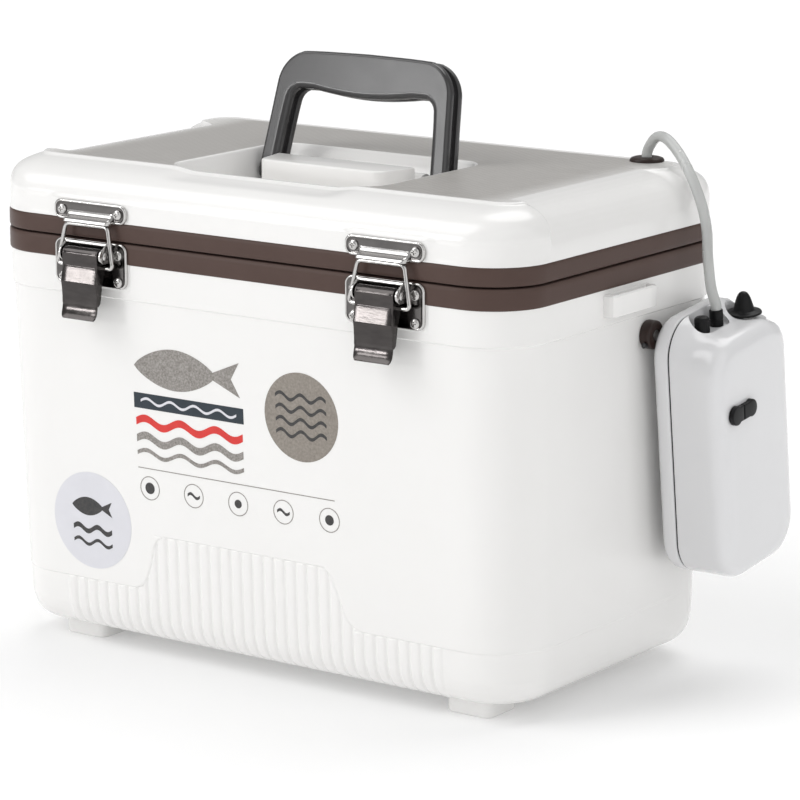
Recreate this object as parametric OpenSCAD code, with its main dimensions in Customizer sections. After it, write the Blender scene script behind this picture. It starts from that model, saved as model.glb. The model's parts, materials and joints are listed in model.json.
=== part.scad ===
// Aerated bait bucket: an insulated 12 litre live-bait box with a hinged lid,
// two toggle latches, a folding carry handle and a battery air pump hung on its
// right end. Millimetres, +Z up, front is -Y, pump end is +X. The origin is the
// middle of the whole object's footprint, on the surface it stands on.

/* [Box] */
// Outside length over the trim bands
box_w = 368; // [360:1:376]
// Outside depth over the trim bands
box_d = 228; // [224:1:232]
// Corner radius of the trim bands, seen from above
band_r = 35; // [33:1:37]
// Height of the gap between the box's band and the lid's band
seam_z = 246; // [246:0.5:250]
// Height of each trim band
band_h = 12; // [10:0.5:12]
// Underside of the moulded base
base_z = 11; // [10:0.5:12]
// Pull-in of the front and back walls at the base
draft_y = 7.3; // [5:0.1:9]
// Thickness of the insulated walls
wall = 22; // [21:0.5:24]

/* [Lid] */
// Height of the lid above the seam
lid_h = 42; // [42:0.5:44]

/* [Handle] */
// Height of the handle above its pivot
handle_h = 71; // [66:1:72]
// Outside width of the handle at its pivots
handle_w = 132; // [130:1:133]
// Fore-and-aft thickness of the handle
handle_t = 14; // [12:1:14]
// Angle by which the upright handle leans back on its stop
handle_lean = 14; // [11:1:15]

/* [Latches] */
// Distance of each latch from the middle of the front
latch_x = 103; // [98:1:106]
// Length of each latch lever below its pivot
lever_l = 38; // [36:1:40]
// Thickness of the latch wire
wire_d = 2.2; // [2:0.1:2.4]

/* [Air pump] */
// Width of the pump's case
pump_w = 78; // [77:1:80]
// Height of the pump's case
pump_h = 150; // [148:1:152]
// Depth of the pump's case
pump_t = 44; // [43:0.5:46]
// Sideways lean with which the pump hangs on its rail
pump_tilt = 7; // [6:0.5:8]
// Outside diameter of the air line
line_d = 6; // [5.6:0.1:6]

/* [Hidden] */

$fn = 40;
g = 0.1;                    // working gap between fitted pieces
hw = box_w / 2;
hd = box_d / 2;
band_lo = seam_z - 0.5 - band_h;    // underside of the box's band
body_top = seam_z - 0.5;            // top face of the box
lid_lo = seam_z + 0.5;              // underside of the lid
lid_band = lid_lo + band_h - 1.5;   // top of the lid's band
lid_top = seam_z + lid_h;
neck = 3;                           // depth by which the shells step in behind the bands
front_y = -(hd + 0.05);             // plane that the latch plates bear on
hinge_y = hd + 5.6;
hinge_z = seam_z;
hinge_x = 110;
pivot_z = lid_top - 12;             // handle pivot height, on the lid's centre line
block_hw = 49;
pump_x = hw + 6;                    // back face of the pump
pump_y = 62;
pump_z = 140;
plug_r = 6.1;                       // hole through the lid for the air line
plug_x = 143;
plug_y = 86;
// latch geometry: pivot of the lever, pivot of the wire
lp_y = front_y - 7;
lp_z = seam_z - 7.5;
q_y = lp_y + 1;
q_z = lp_z - 7;
// the whole object's box, used to put the origin at the middle of its footprint
x_lo = -(hw + 6.6);
x_hi = pump_x + pump_t + 3;
y_lo = lp_y - 8;
y_hi = hinge_y + 4.2;
ox = -(x_lo + x_hi) / 2;
oy = -(y_lo + y_hi) / 2;

white = [0.93, 0.93, 0.92];
brown = [0.33, 0.28, 0.26];
steel = [0.72, 0.72, 0.74];
grey = [0.27, 0.27, 0.28];
black = [0.06, 0.06, 0.06];

module at() { translate([ox, oy, 0]) children(); }
module pump_at() { at() translate([pump_x, pump_y, pump_z]) rotate([pump_tilt, 0, 0]) children(); }

// ---- shared shapes ----
// outline of a rounded rectangle, n steps a corner
function rrp(hx, hy, r, n) = [for (k = [0:3], i = [0:n])
  let (a = 90 * k + 90 * i / n, sx = (k == 0 || k == 3) ? 1 : -1, sy = (k < 2) ? 1 : -1)
  [sx * (hx - r) + r * cos(a), sy * (hy - r) + r * sin(a)]];
// skin over a stack of outlines; each slice is [height, half x, half y, radius, shift y]
function skin_faces(m, s) = concat([[for (i = [0:m - 1]) i]],
  [[for (i = [m - 1:-1:0]) (s - 1) * m + i]],
  [for (j = [0:s - 2], i = [0:m - 1]) [j * m + i, (j + 1) * m + i, (j + 1) * m + (i + 1) % m]],
  [for (j = [0:s - 2], i = [0:m - 1]) [j * m + i, (j + 1) * m + (i + 1) % m, j * m + (i + 1) % m]]);
module loft(S, n = 6) polyhedron([for (s = S, p = rrp(s[1], s[2], s[3], n))
  [p[0], p[1] + (len(s) > 4 ? s[4] : 0), s[0]]], skin_faces(4 * (n + 1), len(S)), convexity = 6);
// the same along X: each slice is [x, half y, half z, radius]
module xloft(S, n = 6) polyhedron([for (s = S, p = rrp(s[1], s[2], s[3], n))
  [s[0], p[0], p[1]]], skin_faces(4 * (n + 1), len(S)), convexity = 6);
// slices made larger or smaller all round, and raised or lowered
function grow(S, d) = [for (s = S) [s[0], s[1] + d, s[2] + d, s[3] + d, len(s) > 4 ? s[4] : 0]];
// upright rounded block
module slab(hx, hy, r, z0, z1) {
  translate([-hx, -(hy - r), z0]) cube([2 * hx, 2 * (hy - r), z1 - z0]);
  translate([-(hx - r), -hy, z0]) cube([2 * (hx - r), 2 * hy, z1 - z0]);
  for (x = [-1, 1], y = [-1, 1]) translate([x * (hx - r), y * (hy - r), z0]) cylinder(r = r, h = z1 - z0);
}
// plate standing in the XZ plane, with its back face at y = 0 and its front face at -t
module plate(hx, hz, r, t) rotate([90, 0, 0]) slab(hx, hz, r, 0, t);
// tube along a smooth line through hand-set points, with rings across the line
function cr(a, b, c, d, t) = 0.5 * ((2 * b) + (c - a) * t + (2 * a - 5 * b + 4 * c - d) * t * t
  + (3 * b - a - 3 * c + d) * t * t * t);
function line_points(P, k) = concat([for (i = [0:len(P) - 2], j = [0:k - 1])
  cr(P[max(i - 1, 0)], P[i], P[i + 1], P[min(i + 2, len(P) - 1)], j / k)], [P[len(P) - 1]]);
function unit(v) = v / norm(v);
module sweep(L, r, m, ref) {
  s = len(L);
  T = [for (i = [0:s - 1]) unit(L[min(i + 1, s - 1)] - L[max(i - 1, 0)])];
  polyhedron([for (i = [0:s - 1], j = [0:m - 1])
    let (u = unit(cross(ref, T[i])), v = cross(T[i], u), a = 360 * j / m)
    L[i] + r * (cos(a) * u + sin(a) * v)], skin_faces(m, s), convexity = 8);
}
module bolt(x, y, z, r) translate([x, y, z]) rotate([90, 0, 0]) cylinder(r = r, h = 12, center = true);

// ---- box ----
function wall_y(z) = hd - 1.7 - draft_y * (band_lo - 20 - z) / 172;
shell_out = [[base_z, hw - 14, hd - 21.5, 24], [base_z + 1.2, hw - 10.4, hd - 18, 28],
  [base_z + 4, hw - 7, hd - 14.4, 31], [base_z + 8, hw - 4.4, hd - 12, 33],
  [base_z + 14, hw - 2.9, hd - 10.1, band_r - 0.8], [base_z + 21, hw - 2.5, wall_y(base_z + 21), band_r],
  [band_lo - 20.6, hw - 1.6, hd - 1.8, band_r], [band_lo - 19.8, hw - 0.5, hd - 0.6, band_r + 0.4],
  [band_lo, hw - 0.5, hd - 0.6, band_r + 0.4], [band_lo, hw - neck, hd - neck, band_r - neck],
  [body_top - 2.5, hw - neck, hd - neck, band_r - neck]];
shell_in = [[base_z + 2.6, hw - 17, hd - 24, 22], [base_z + 4, hw - 13, hd - 20.4, 26],
  [base_z + 7, hw - 9.5, hd - 16.8, 29], [base_z + 12, hw - 6.8, hd - 14, 31],
  [base_z + 19, hw - 5.6, wall_y(base_z + 19) - 3, 32], [band_lo - 20, hw - 4.6, hd - 4.8, 32],
  [body_top - 2.5 + 0.01, hw - neck - 2.6, hd - neck - 2.6, band_r - neck - 2.6]];
liner_out = [[base_z + 18, hw - 34, hd - 40, 14], [base_z + 19.5, hw - 28.5, hd - 35, 18],
  [base_z + 23, hw - 25, hd - 31.6, 20], [base_z + 29, hw - 23.4, hd - 29.6, 21],
  [body_top - 2.2, hw - wall + 2.4, hd - wall + 2.4, 22.4]];
liner_in = [[base_z + 20.5, hw - 35, hd - 41, 13], [base_z + 22, hw - 30, hd - 36, 17],
  [base_z + 25.5, hw - 27.4, hd - 33.8, 18.5], [base_z + 31, hw - 26, hd - 32.2, 19],
  [body_top + 0.01, hw - wall, hd - wall, 20]];

module outer_shell() at() color(white) {
  difference() {
    union() {
      loft(shell_out);
      // mounting pads behind the latch plates
      for (s = [-1, 1]) translate([s * latch_x - 26.5, -hd, seam_z - 27]) cube([53, 4, 27 - (seam_z - band_lo) - 0.1]);
      // ribs on the lower front: the low row and the raised middle field
      for (i = [-17:17]) let (c = abs(i * 7.7 + 4), t = c < 57 ? 52 : c < 75 ? 52 - (c - 57) * 31 / 18 : 18)
        translate([i * 7.7 - 2.4, -(wall_y(23) + 1.5), 23]) rotate([2.4, 0, 0]) cube([4.8, 4, t]);
      // low rails under both ends
      for (s = [-1, 1]) translate([s * 152 - 5, -44, base_z - 3.5]) cube([10, 82, 5]);
      // lugs for a shoulder strap
      for (s = [-1, 1]) translate([s > 0 ? hw - 2.4 : -(hw + 6.6), -23, seam_z - 27]) cube([9, 46, 13 - 0.4]);
    }
    loft(shell_in);
    for (s = [-1, 1]) translate([s > 0 ? hw + 0.6 : -(hw + 3.6), -17, seam_z - 30]) cube([3, 34, 20]);
    for (s = [-1, 1], x = [-20.35, 20.35]) {
      bolt(s * latch_x + x, -hd + 2, seam_z - 22.7, 1.7);
      bolt(s * latch_x + x, -hd + 2, seam_z - 7.3, 1.7);
    }
    for (y = [24, 100]) translate([hw - 12, y, 202]) rotate([0, 90, 0]) cylinder(r = 1.7, h = 14);
    for (s = [-1, 1], x = [-13, 13]) bolt(s * hinge_x + x, hd - 2, seam_z - 10, 1.4);
  }
}
module body_foam() at() color([0.95, 0.93, 0.8]) difference() {
  loft([for (s = grow(shell_in, -g)) [min(max(s[0], base_z + 2.75), body_top - 2.6), s[1], s[2], s[3], 0]]);
  translate([0, 0, -g]) loft(concat(grow(liner_out, g), [[body_top + 2, hw - wall + 2.5, hd - wall + 2.5, 22.5, 0]]));
  for (s = [-1, 1], x = [-20.35, 20.35]) for (z = [22.7, 7.3]) bolt(s * latch_x + x, -hd + 2, seam_z - z, 2);
  for (y = [24, 100]) translate([hw - 14, y, 202]) rotate([0, 90, 0]) cylinder(r = 2, h = 16);
}
module inner_liner() at() color([0.9, 0.9, 0.89]) difference() {
  union() {
    loft(liner_out);
    slab(hw - 14.1, hd - 14.1, band_r - 14.1, body_top - 2.3, body_top);
  }
  loft(liner_in);
}
module body_trim() at() color(brown) difference() {
  slab(hw, hd, band_r, band_lo, body_top);
  slab(hw - neck + g, hd - neck + g, band_r - neck + g, band_lo - 1, body_top - 2.4);
  slab(hw - 14, hd - 14, band_r - 14, band_lo - 1, body_top + 1);
  for (s = [-1, 1], x = [-20.35, 20.35]) bolt(s * latch_x + x, -hd + 2, seam_z - 7.3, 1.7);
  for (s = [-1, 1], x = [-13, 13]) bolt(s * hinge_x + x, hd - 2, seam_z - 10, 1.4);
}
module feet() at() color(white) for (x = [-138, 138], y = [-72, 72])
  translate([x, y, 0]) slab(15, 14, 5, 0, base_z - 0.02);

// ---- rear hinges ----
module knuckle(x0, x1, r) translate([x0, hinge_y, hinge_z]) rotate([0, 90, 0]) cylinder(r = r, h = x1 - x0);
module hinge_body_leaves() at() color(steel) for (s = [-1, 1]) translate([s * hinge_x, 0, 0]) difference() {
  union() {
    translate([-18, hd + 0.05, seam_z - 15]) cube([36, 1.6, 15]);
    for (x = [-18, 6.4]) {
      knuckle(x, x + 11.6, 4.2);
      translate([x, hd + 0.05, seam_z - 4.2]) cube([11.6, 5.5, 4.2]);
    }
  }
  // room for the lid's knuckle
  knuckle(-6.3, 6.3, 4.8);
  translate([-30, 0, 0]) knuckle(0, 60, 1.53);
  for (x = [-13, 13]) bolt(x, hd + 4, seam_z - 10, 1.5);
}
module hinge_lid_leaves() at() color(steel) for (s = [-1, 1]) translate([s * hinge_x, 0, 0]) difference() {
  union() {
    translate([-18, hd + 0.05, seam_z + 1]) cube([36, 1.6, 14.5]);
    knuckle(-6, 6, 4.2);
    translate([-6, hd + 0.05, seam_z]) cube([12, 5.5, 4.2]);
  }
  // room for the box's knuckles
  for (x = [-18.5, 6.2]) knuckle(x, x + 12.3, 4.8);
  translate([-30, 0, 0]) knuckle(0, 60, 1.56);
  for (x = [-13, 13]) bolt(x, hd + 4, seam_z + 8.5, 1.5);
}
module hinge_pins() at() color(steel) for (s = [-1, 1]) translate([s * hinge_x, 0, 0]) knuckle(-18.6, 18.6, 1.5);
module back_screw(x, z) translate([x, hd + 1.7, z]) rotate([90, 0, 0]) {
  translate([0, 0, -1.3]) cylinder(r = 2.7, h = 1.25);
  translate([0, 0, -0.1]) cylinder(r = 1.3, h = 6.5);
}
module hinge_body_screws() at() color(steel) for (s = [-1, 1], x = [-13, 13]) back_screw(s * hinge_x + x, seam_z - 10);
module hinge_lid_screws() at() color(steel) for (s = [-1, 1], x = [-13, 13]) back_screw(s * hinge_x + x, seam_z + 8.5);

// ---- latches ----
module latch_base() difference() {
  union() {
    translate([0, front_y, seam_z - 13.6]) plate(26.4, 13.1, 5, 1.5);
    for (s = [-1, 1]) translate([s * 14.75, 0, 0]) {
      translate([-0.7, lp_y, lp_z]) rotate([0, 90, 0]) cylinder(r = 4.4, h = 1.4);
      translate([-0.7, lp_y, lp_z - 4]) cube([1.4, 6, 9.6]);
    }
    translate([-15.4, lp_y + 2.9, lp_z + 5.9]) rotate([0, 90, 0]) cylinder(r = 1.3, h = 30.8);
    translate([-15.4, lp_y + 2.9, lp_z + 5.4]) cube([30.8, 3.1, 1]);
  }
  translate([-20, lp_y, lp_z]) rotate([0, 90, 0]) cylinder(r = 1.53, h = 40);
  for (x = [-20.35, 20.35]) {
    bolt(x, front_y, seam_z - 22.7, 1.8);
    bolt(x, front_y, seam_z - 7.3, 1.8);
  }
}
module latch_base_left() at() color(steel) translate([-latch_x, 0, 0]) latch_base();
module latch_base_right() at() color(steel) translate([latch_x, 0, 0]) latch_base();
module pan_screw(x, y, z, l) translate([x, y, z]) rotate([90, 0, 0]) difference() {
  union() {
    cylinder(r = 3, h = 1.1);
    translate([0, 0, 1]) cylinder(r = 2.2, h = 0.6);
    translate([0, 0, -l]) cylinder(r = 1.6, h = l + 0.1);
  }
  for (a = [0, 90]) rotate([0, 0, a]) translate([-1.5, -0.35, 0.8]) cube([3, 0.7, 2]);
}
module latch_base_screws() at() color(steel) for (s = [-1, 1], x = [-20.35, 20.35], z = [22.7, 7.3])
  pan_screw(s * latch_x + x, front_y - 1.55, seam_z - z, 6.5);
module latch_pivot_pins() at() color(steel) for (s = [-1, 1]) translate([s * latch_x, lp_y, lp_z]) rotate([0, 90, 0]) {
  translate([0, 0, -16.2]) cylinder(r = 1.5, h = 32.4);
  for (z = [-16.7, 15.6]) translate([0, 0, z]) cylinder(r = 2.4, h = 1.1);
}
// lever: a plate with two flanges, rolled round its pivot and flared at the tip
module latch_lever() difference() {
  union() {
    for (s = [-1, 1]) translate([s * 12.15 - 0.6, 0, 0]) {
      translate([0, lp_y, lp_z]) rotate([0, 90, 0]) cylinder(r = 4.1, h = 1.2);
      translate([0, lp_y - 4.1, lp_z - 13]) cube([1.2, 7, 13]);
      translate([0, lp_y - 4.1, lp_z - 30]) cube([1.2, 3.4, 18]);
    }
    difference() {
      translate([-12.75, lp_y, lp_z]) rotate([0, 90, 0]) cylinder(r = 4.1, h = 25.5);
      translate([-13, lp_y, lp_z]) rotate([0, 90, 0]) cylinder(r = 2.9, h = 26);
      translate([-13, lp_y - 2.9, lp_z - 5]) cube([26, 10, 5]);
      translate([-13, lp_y + 1.5, lp_z - 5]) cube([26, 10, 10]);
    }
    translate([-12.75, lp_y - 4.1, lp_z - lever_l + 7]) cube([25.5, 1.2, lever_l - 7]);
    translate([-12.75, lp_y - 4.1, lp_z - lever_l + 7.4]) rotate([-24, 0, 0]) translate([0, 0, -8]) cube([25.5, 1.2, 8.3]);
  }
  translate([-20, lp_y, lp_z]) rotate([0, 90, 0]) cylinder(r = 1.56, h = 40);
  translate([-20, q_y, q_z]) rotate([0, 90, 0]) cylinder(r = wire_d / 2 + 0.08, h = 40);
}
module latch_lever_left() at() color(steel) translate([-latch_x, 0, 0]) latch_lever();
module latch_lever_right() at() color(steel) translate([latch_x, 0, 0]) latch_lever();
// wire loop: its two ends turn in and sit in the lever's flanges
bail_top_y = front_y - 4.2;
bail_top_z = seam_z + 7.6;
function bail_path(n = 5) = let (
    b = [20.2, q_y, q_z], t = [15.4, bail_top_y, bail_top_z], d = unit(t - b), r = 3.2)
  concat([[11.2, q_y, q_z], [14, q_y, q_z]],
    [for (i = [0:n]) let (a = i / n) (1 - a) * (1 - a) * [20.2 - r, q_y, q_z] + 2 * a * (1 - a) * b + a * a * (b + r * d)],
    [for (i = [0:n]) let (a = i / n) (1 - a) * (1 - a) * (t - r * d) + 2 * a * (1 - a) * t + a * a * [15.4 - r, bail_top_y, bail_top_z]]);
module latch_bail() {
  half = bail_path();
  m = len(half);
  L = concat([for (i = [0:m - 1]) [half[i][0], half[i][1], half[i][2]]],
    [for (i = [m - 1:-1:0]) [-half[i][0], half[i][1], half[i][2]]]);
  ang = atan2(bail_top_y - q_y, bail_top_z - q_z);
  sweep(L, wire_d / 2, 10, [0, cos(ang), -sin(ang)]);
}
module latch_bail_left() at() color(steel) translate([-latch_x, 0, 0]) latch_bail();
module latch_bail_right() at() color(steel) translate([latch_x, 0, 0]) latch_bail();
module keeper() difference() {
  union() {
    translate([0, front_y, seam_z + 16]) plate(26.4, 5.7, 4.9, 1.5);
    // formed hood that the wire tucks under
    translate([-17, front_y - 1.4, seam_z + 12.4]) difference() {
      rotate([0, 90, 0]) cylinder(r = 5.2, h = 34);
      translate([-1, 0, 0]) rotate([0, 90, 0]) cylinder(r = 4, h = 36);
      translate([-1, 0.05, -8]) cube([36, 8, 16]);
      translate([-1, -8, -8]) cube([36, 9, 5.4]);
    }
  }
  for (x = [-20.35, 20.35]) bolt(x, front_y, seam_z + 16, 1.8);
  translate([-17.1, front_y - 6.8, seam_z + 4]) cube([34.2, 7, 6.1]);
}
module keeper_left() at() color(steel) translate([-latch_x, 0, 0]) keeper();
module keeper_right() at() color(steel) translate([latch_x, 0, 0]) keeper();
module keeper_screws() at() color(steel) for (s = [-1, 1], x = [-20.35, 20.35])
  pan_screw(s * latch_x + x, front_y - 1.55, seam_z + 16, 6);

// ---- lid ----
lid_out = [[lid_lo + 4.6, hw - neck, hd - neck, band_r - neck], [lid_band, hw - neck, hd - neck, band_r - neck],
  [lid_band, hw - 0.4, hd - 0.4, band_r - 0.4], [lid_top - 25, hw - 0.5, hd - 0.6, 34.4], [lid_top - 19.5, hw - 0.7, hd - 1, 34.2],
  [lid_top - 15.5, hw - 1.1, hd - 1.9, 33.8], [lid_top - 12, hw - 2.1, hd - 3.4, 33.2], [lid_top - 9, hw - 3.7, hd - 5.6, 32.4],
  [lid_top - 6.5, hw - 5.8, hd - 8.6, 31.2], [lid_top - 4.4, hw - 8.6, hd - 12.6, 29.8], [lid_top - 2.8, hw - 11.6, hd - 17.4, 28],
  [lid_top - 1.8, hw - 14, hd - 21.6, 26]];
lid_in = [[lid_lo + 4.5, hw - neck - 2.6, hd - neck - 2.6, 29.4], [lid_band, hw - neck - 2.4, hd - neck - 2.4, 29.6],
  [lid_top - 25, hw - 3.6, hd - 3.7, 31.4], [lid_top - 19.5, hw - 3.8, hd - 4.2, 31.2],
  [lid_top - 15.5, hw - 4.4, hd - 5.4, 30.8], [lid_top - 12.2, hw - 5.9, hd - 7.5, 30], [lid_top - 9.6, hw - 8.3, hd - 10.8, 28.8],
  [lid_top - 7.6, hw - 11.4, hd - 15, 27.2], [lid_top - 6, hw - 15, hd - 20.4, 25], [lid_top - 5, hw - 19, hd - 26, 22]];
lid_panel = [[lid_top - 4.5, hw - 14, hd - 24, 16, 2], [lid_top - 1.2, hw - 14.6, hd - 24.6, 15, 2],
  [lid_top, hw - 16, hd - 25.6, 14, 2]];
pocket_floor = lid_top - 21.5;
pocket = [[pocket_floor, 67.6, 46.5, 10, -32.5], [lid_top - 14, 68.4, 47.4, 11, -32.2], [lid_top - 6, 70, 50.6, 13, -31],
  [lid_top + 0.5, 72, 54.6, 15, -29.4]];
pocket_wall = [[pocket_floor - 2.2, 69.8, 48.7, 12, -32.5], [lid_top - 14, 70.6, 49.6, 13, -32.2],
  [lid_top - 6, 72.2, 52.8, 15, -31], [lid_top + 3, 75.4, 57.6, 17, -29.2]];
module lid_shell() at() color(white) difference() {
  union() {
    loft(lid_out);
    loft(lid_panel);
    for (s = [-1, 1]) translate([s * latch_x - 26.5, -hd, lid_band]) cube([53, 5.5, 12.5]);
    for (s = [-1, 1]) translate([s * hinge_x - 18, hd - 4, lid_band]) cube([36, 4, 4.6]);
  }
  difference() { loft(lid_in); loft(pocket_wall); }
  loft(pocket);
  translate([plug_x, plug_y, lid_lo]) cylinder(r = plug_r, h = 60);
  for (s = [-1, 1], x = [-20.35, 20.35]) bolt(s * latch_x + x, -hd + 2, seam_z + 16, 1.7);
  for (s = [-1, 1], x = [-13, 13]) bolt(s * hinge_x + x, hd - 2, seam_z + 8.5, 1.4);
}
module lid_foam() at() color([0.95, 0.93, 0.8]) difference() {
  union() {
    loft([for (s = grow(lid_in, -g)) [max(s[0] - g, lid_lo + 4.6), s[1], s[2], s[3], 0]]);
    slab(hw - 14.1, hd - 14.1, band_r - 14.1, lid_lo + 2.6, lid_lo + 5);
  }
  translate([0, 0, -g]) loft(grow(pocket_wall, g));
  translate([plug_x, plug_y, lid_lo]) cylinder(r = plug_r, h = 60);
  for (s = [-1, 1], x = [-20.35, 20.35]) bolt(s * latch_x + x, -hd + 2, seam_z + 16, 2);
}
module lid_liner() at() color([0.9, 0.9, 0.89]) difference() {
  union() {
    slab(hw - 14.1, hd - 14.1, band_r - 14.1, lid_lo, lid_lo + 2.5);
  }
  // shallow panel pressed into the underside
  slab(hw - 40, hd - 40, 14, lid_lo - 1, lid_lo + 0.8);
  translate([plug_x, plug_y, lid_lo - 1]) cylinder(r = plug_r, h = 10);
}
module lid_trim() at() color(brown) difference() {
  slab(hw, hd, band_r, lid_lo, lid_band);
  slab(hw - neck + g, hd - neck + g, band_r - neck + g, lid_lo + 4.5, lid_band + 1);
  slab(hw - 14, hd - 14, band_r - 14, lid_lo - 1, lid_band);
  difference() {
    slab(hw - 6.9, hd - 6.9, band_r - 6.9, lid_lo - 1, lid_lo + 2.1);
    slab(hw - 12.6, hd - 12.6, band_r - 12.6, lid_lo - 1, lid_lo + 3);
  }
  for (s = [-1, 1], x = [-13, 13]) bolt(s * hinge_x + x, hd - 2, seam_z + 8.5, 1.4);
}
module lid_gasket() at() color([0.12, 0.1, 0.1]) difference() {
  slab(hw - 7, hd - 7, band_r - 7, body_top + 0.15, lid_lo + 2);
  slab(hw - 12.5, hd - 12.5, band_r - 12.5, body_top, lid_lo + 3);
}
module line_grommet() at() color([0.2, 0.16, 0.15]) translate([plug_x, plug_y, 0]) difference() {
  union() {
    translate([0, 0, lid_top - 6.6]) cylinder(r = 10, h = 9.2);
    translate([0, 0, lid_lo + 0.4]) cylinder(r = plug_r - g, h = lid_top - lid_lo - 1);
  }
  translate([0, 0, lid_lo - 1]) cylinder(r = line_d / 2 + 0.2, h = 50);
  // the flange beds on the lid's falling shoulder
  translate([-plug_x - ox, -plug_y - oy, 0]) at() difference() {
    intersection() { loft(grow(lid_out, 0.05)); translate([plug_x, plug_y, lid_top - 10]) cylinder(r = 12, h = 20); }
    translate([plug_x, plug_y, 0]) cylinder(r = plug_r - g, h = 400);
  }
  translate([-plug_x - ox, -plug_y - oy, 0]) at() difference() {
    intersection() { loft(grow(lid_panel, 0.05)); translate([plug_x, plug_y, lid_top - 10]) cylinder(r = 12, h = 20); }
    translate([plug_x, plug_y, 0]) cylinder(r = plug_r - g, h = 400);
  }
}

// ---- handle ----
// bow: outline from functions, in its own upright plane, x across and y up from the pivot
leg_w = 11.4;
function arc(cx, cy, r, a0, a1, n) = [for (i = [0:n]) let (a = a0 + (a1 - a0) * i / n) [cx + r * cos(a), cy + r * sin(a)]];
bow_out = concat([[handle_w / 2, 0]], arc(handle_w / 2 - 4.6 - 21, handle_h - 21.5, 21, 0, 80, 9), [[14, handle_h], [0, handle_h + 0.2]]);
bow_in = concat([[handle_w / 2 - leg_w, -1]], arc(handle_w / 2 - leg_w - 4 - 8, handle_h - 30.4, 8, 0, 75, 6),
  [for (i = [1:5]) let (x = 36 - 36 * i / 5) [x, handle_h - 22 - 3.6 * cos(90 * x / 40)]]);
module bow2d(P) polygon(concat(P, [for (i = [len(P) - 2:-1:0]) [-P[i][0], P[i][1]]]));
module handle() at() color(grey) translate([0, 0, pivot_z]) rotate([-handle_lean, 0, 0]) difference() {
  union() {
    translate([0, handle_t / 2, 0]) rotate([90, 0, 0]) linear_extrude(handle_t) difference() { bow2d(bow_out); bow2d(bow_in); }
    for (s = [-1, 1]) translate([s > 0 ? handle_w / 2 - leg_w : -handle_w / 2, 0, 0]) rotate([0, 90, 0]) cylinder(r = handle_t / 2, h = leg_w);
  }
  for (s = [-1, 1]) translate([s > 0 ? handle_w / 2 - leg_w - 1 : -handle_w / 2 + 3, 0, 0]) rotate([0, 90, 0]) cylinder(r = 3.05, h = leg_w - 2);
  // long grooves on both sides of the legs
  for (s = [-1, 1]) translate([s * (handle_w / 2 - 0.4) - 1, -1.6, 8]) rotate([0, -s * 4, 0]) cube([2, 3.6, handle_h - 34]);
}
module handle_block() at() color(white) difference() {
  union() {
    translate([0, 0, pocket_floor + 0.05]) linear_extrude(lid_top - pocket_floor - 0.1) polygon(concat(
      [[block_hw - 0.6, -10]], [for (p = arc(block_hw - 11.6, -29, 7, -14, -90, 6)) p],
      [for (p = arc(-(block_hw - 11.6), -29, 7, -90, -166, 6)) p], [[-(block_hw - 0.6), -10]]));
    for (s = [-1, 1]) {
      // cheeks that hold the handle's pins
      translate([s > 0 ? block_hw - 13 : -block_hw, -10.5, pocket_floor + 0.05]) cube([13, 17.5, pivot_z - pocket_floor]);
      translate([s > 0 ? block_hw - 13 : -block_hw, 0, pivot_z]) rotate([0, 90, 0]) cylinder(r = 7, h = 13);
    }
  }
  for (s = [-1, 1]) translate([s > 0 ? block_hw - 12 : -block_hw - 1, 0, pivot_z]) rotate([0, 90, 0]) cylinder(r = 3.02, h = 13);
}
module handle_pins() at() color(steel) for (s = [-1, 1])
  translate([s > 0 ? block_hw - 11.8 : -(handle_w / 2 - 3.4), 0, pivot_z]) rotate([0, 90, 0]) cylinder(r = 3, h = handle_w / 2 - 3.4 - block_hw + 11.8);

// ---- pump hanger on the right end ----
module pump_pegs() at() color(brown) for (y = [24, 100]) translate([hw - 1.6 + g, y, 202]) rotate([0, 90, 0]) difference() {
  cylinder(r = 8.2, h = 6.7);
  translate([0, 0, -1]) cylinder(r = 1.7, h = 10);
  translate([0, 0, 5.2]) cylinder(r = 3.2, h = 5);
  translate([5, 0, 3.8]) rotate([90, 0, 0]) cylinder(r = 1.55, h = 20, center = true);
}
module peg_screws() at() color(steel) for (y = [24, 100]) translate([hw - 1.6 + g, y, 202]) rotate([0, 90, 0]) {
  translate([0, 0, 5.3]) cylinder(r = 3, h = 1.1);
  translate([0, 0, -7]) cylinder(r = 1.6, h = 12.4);
}
module pump_rail() at() color(steel) translate([hw - 1.6 + g + 3.8, 15, 197]) rotate([-90, 0, 0]) cylinder(r = 1.5, h = 94);
// spring clip on the pump's back, in the pump's own frame
module pump_clip() pump_at() color(steel) {
  translate([-1.3, -13, 28]) cube([1.25, 26, 33]);
  translate([-6.6, -13, 32]) cube([1.1, 26, 29]);
  translate([-6.6, -13, 60.8]) cube([6.55, 26, 1.2]);
}

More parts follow.
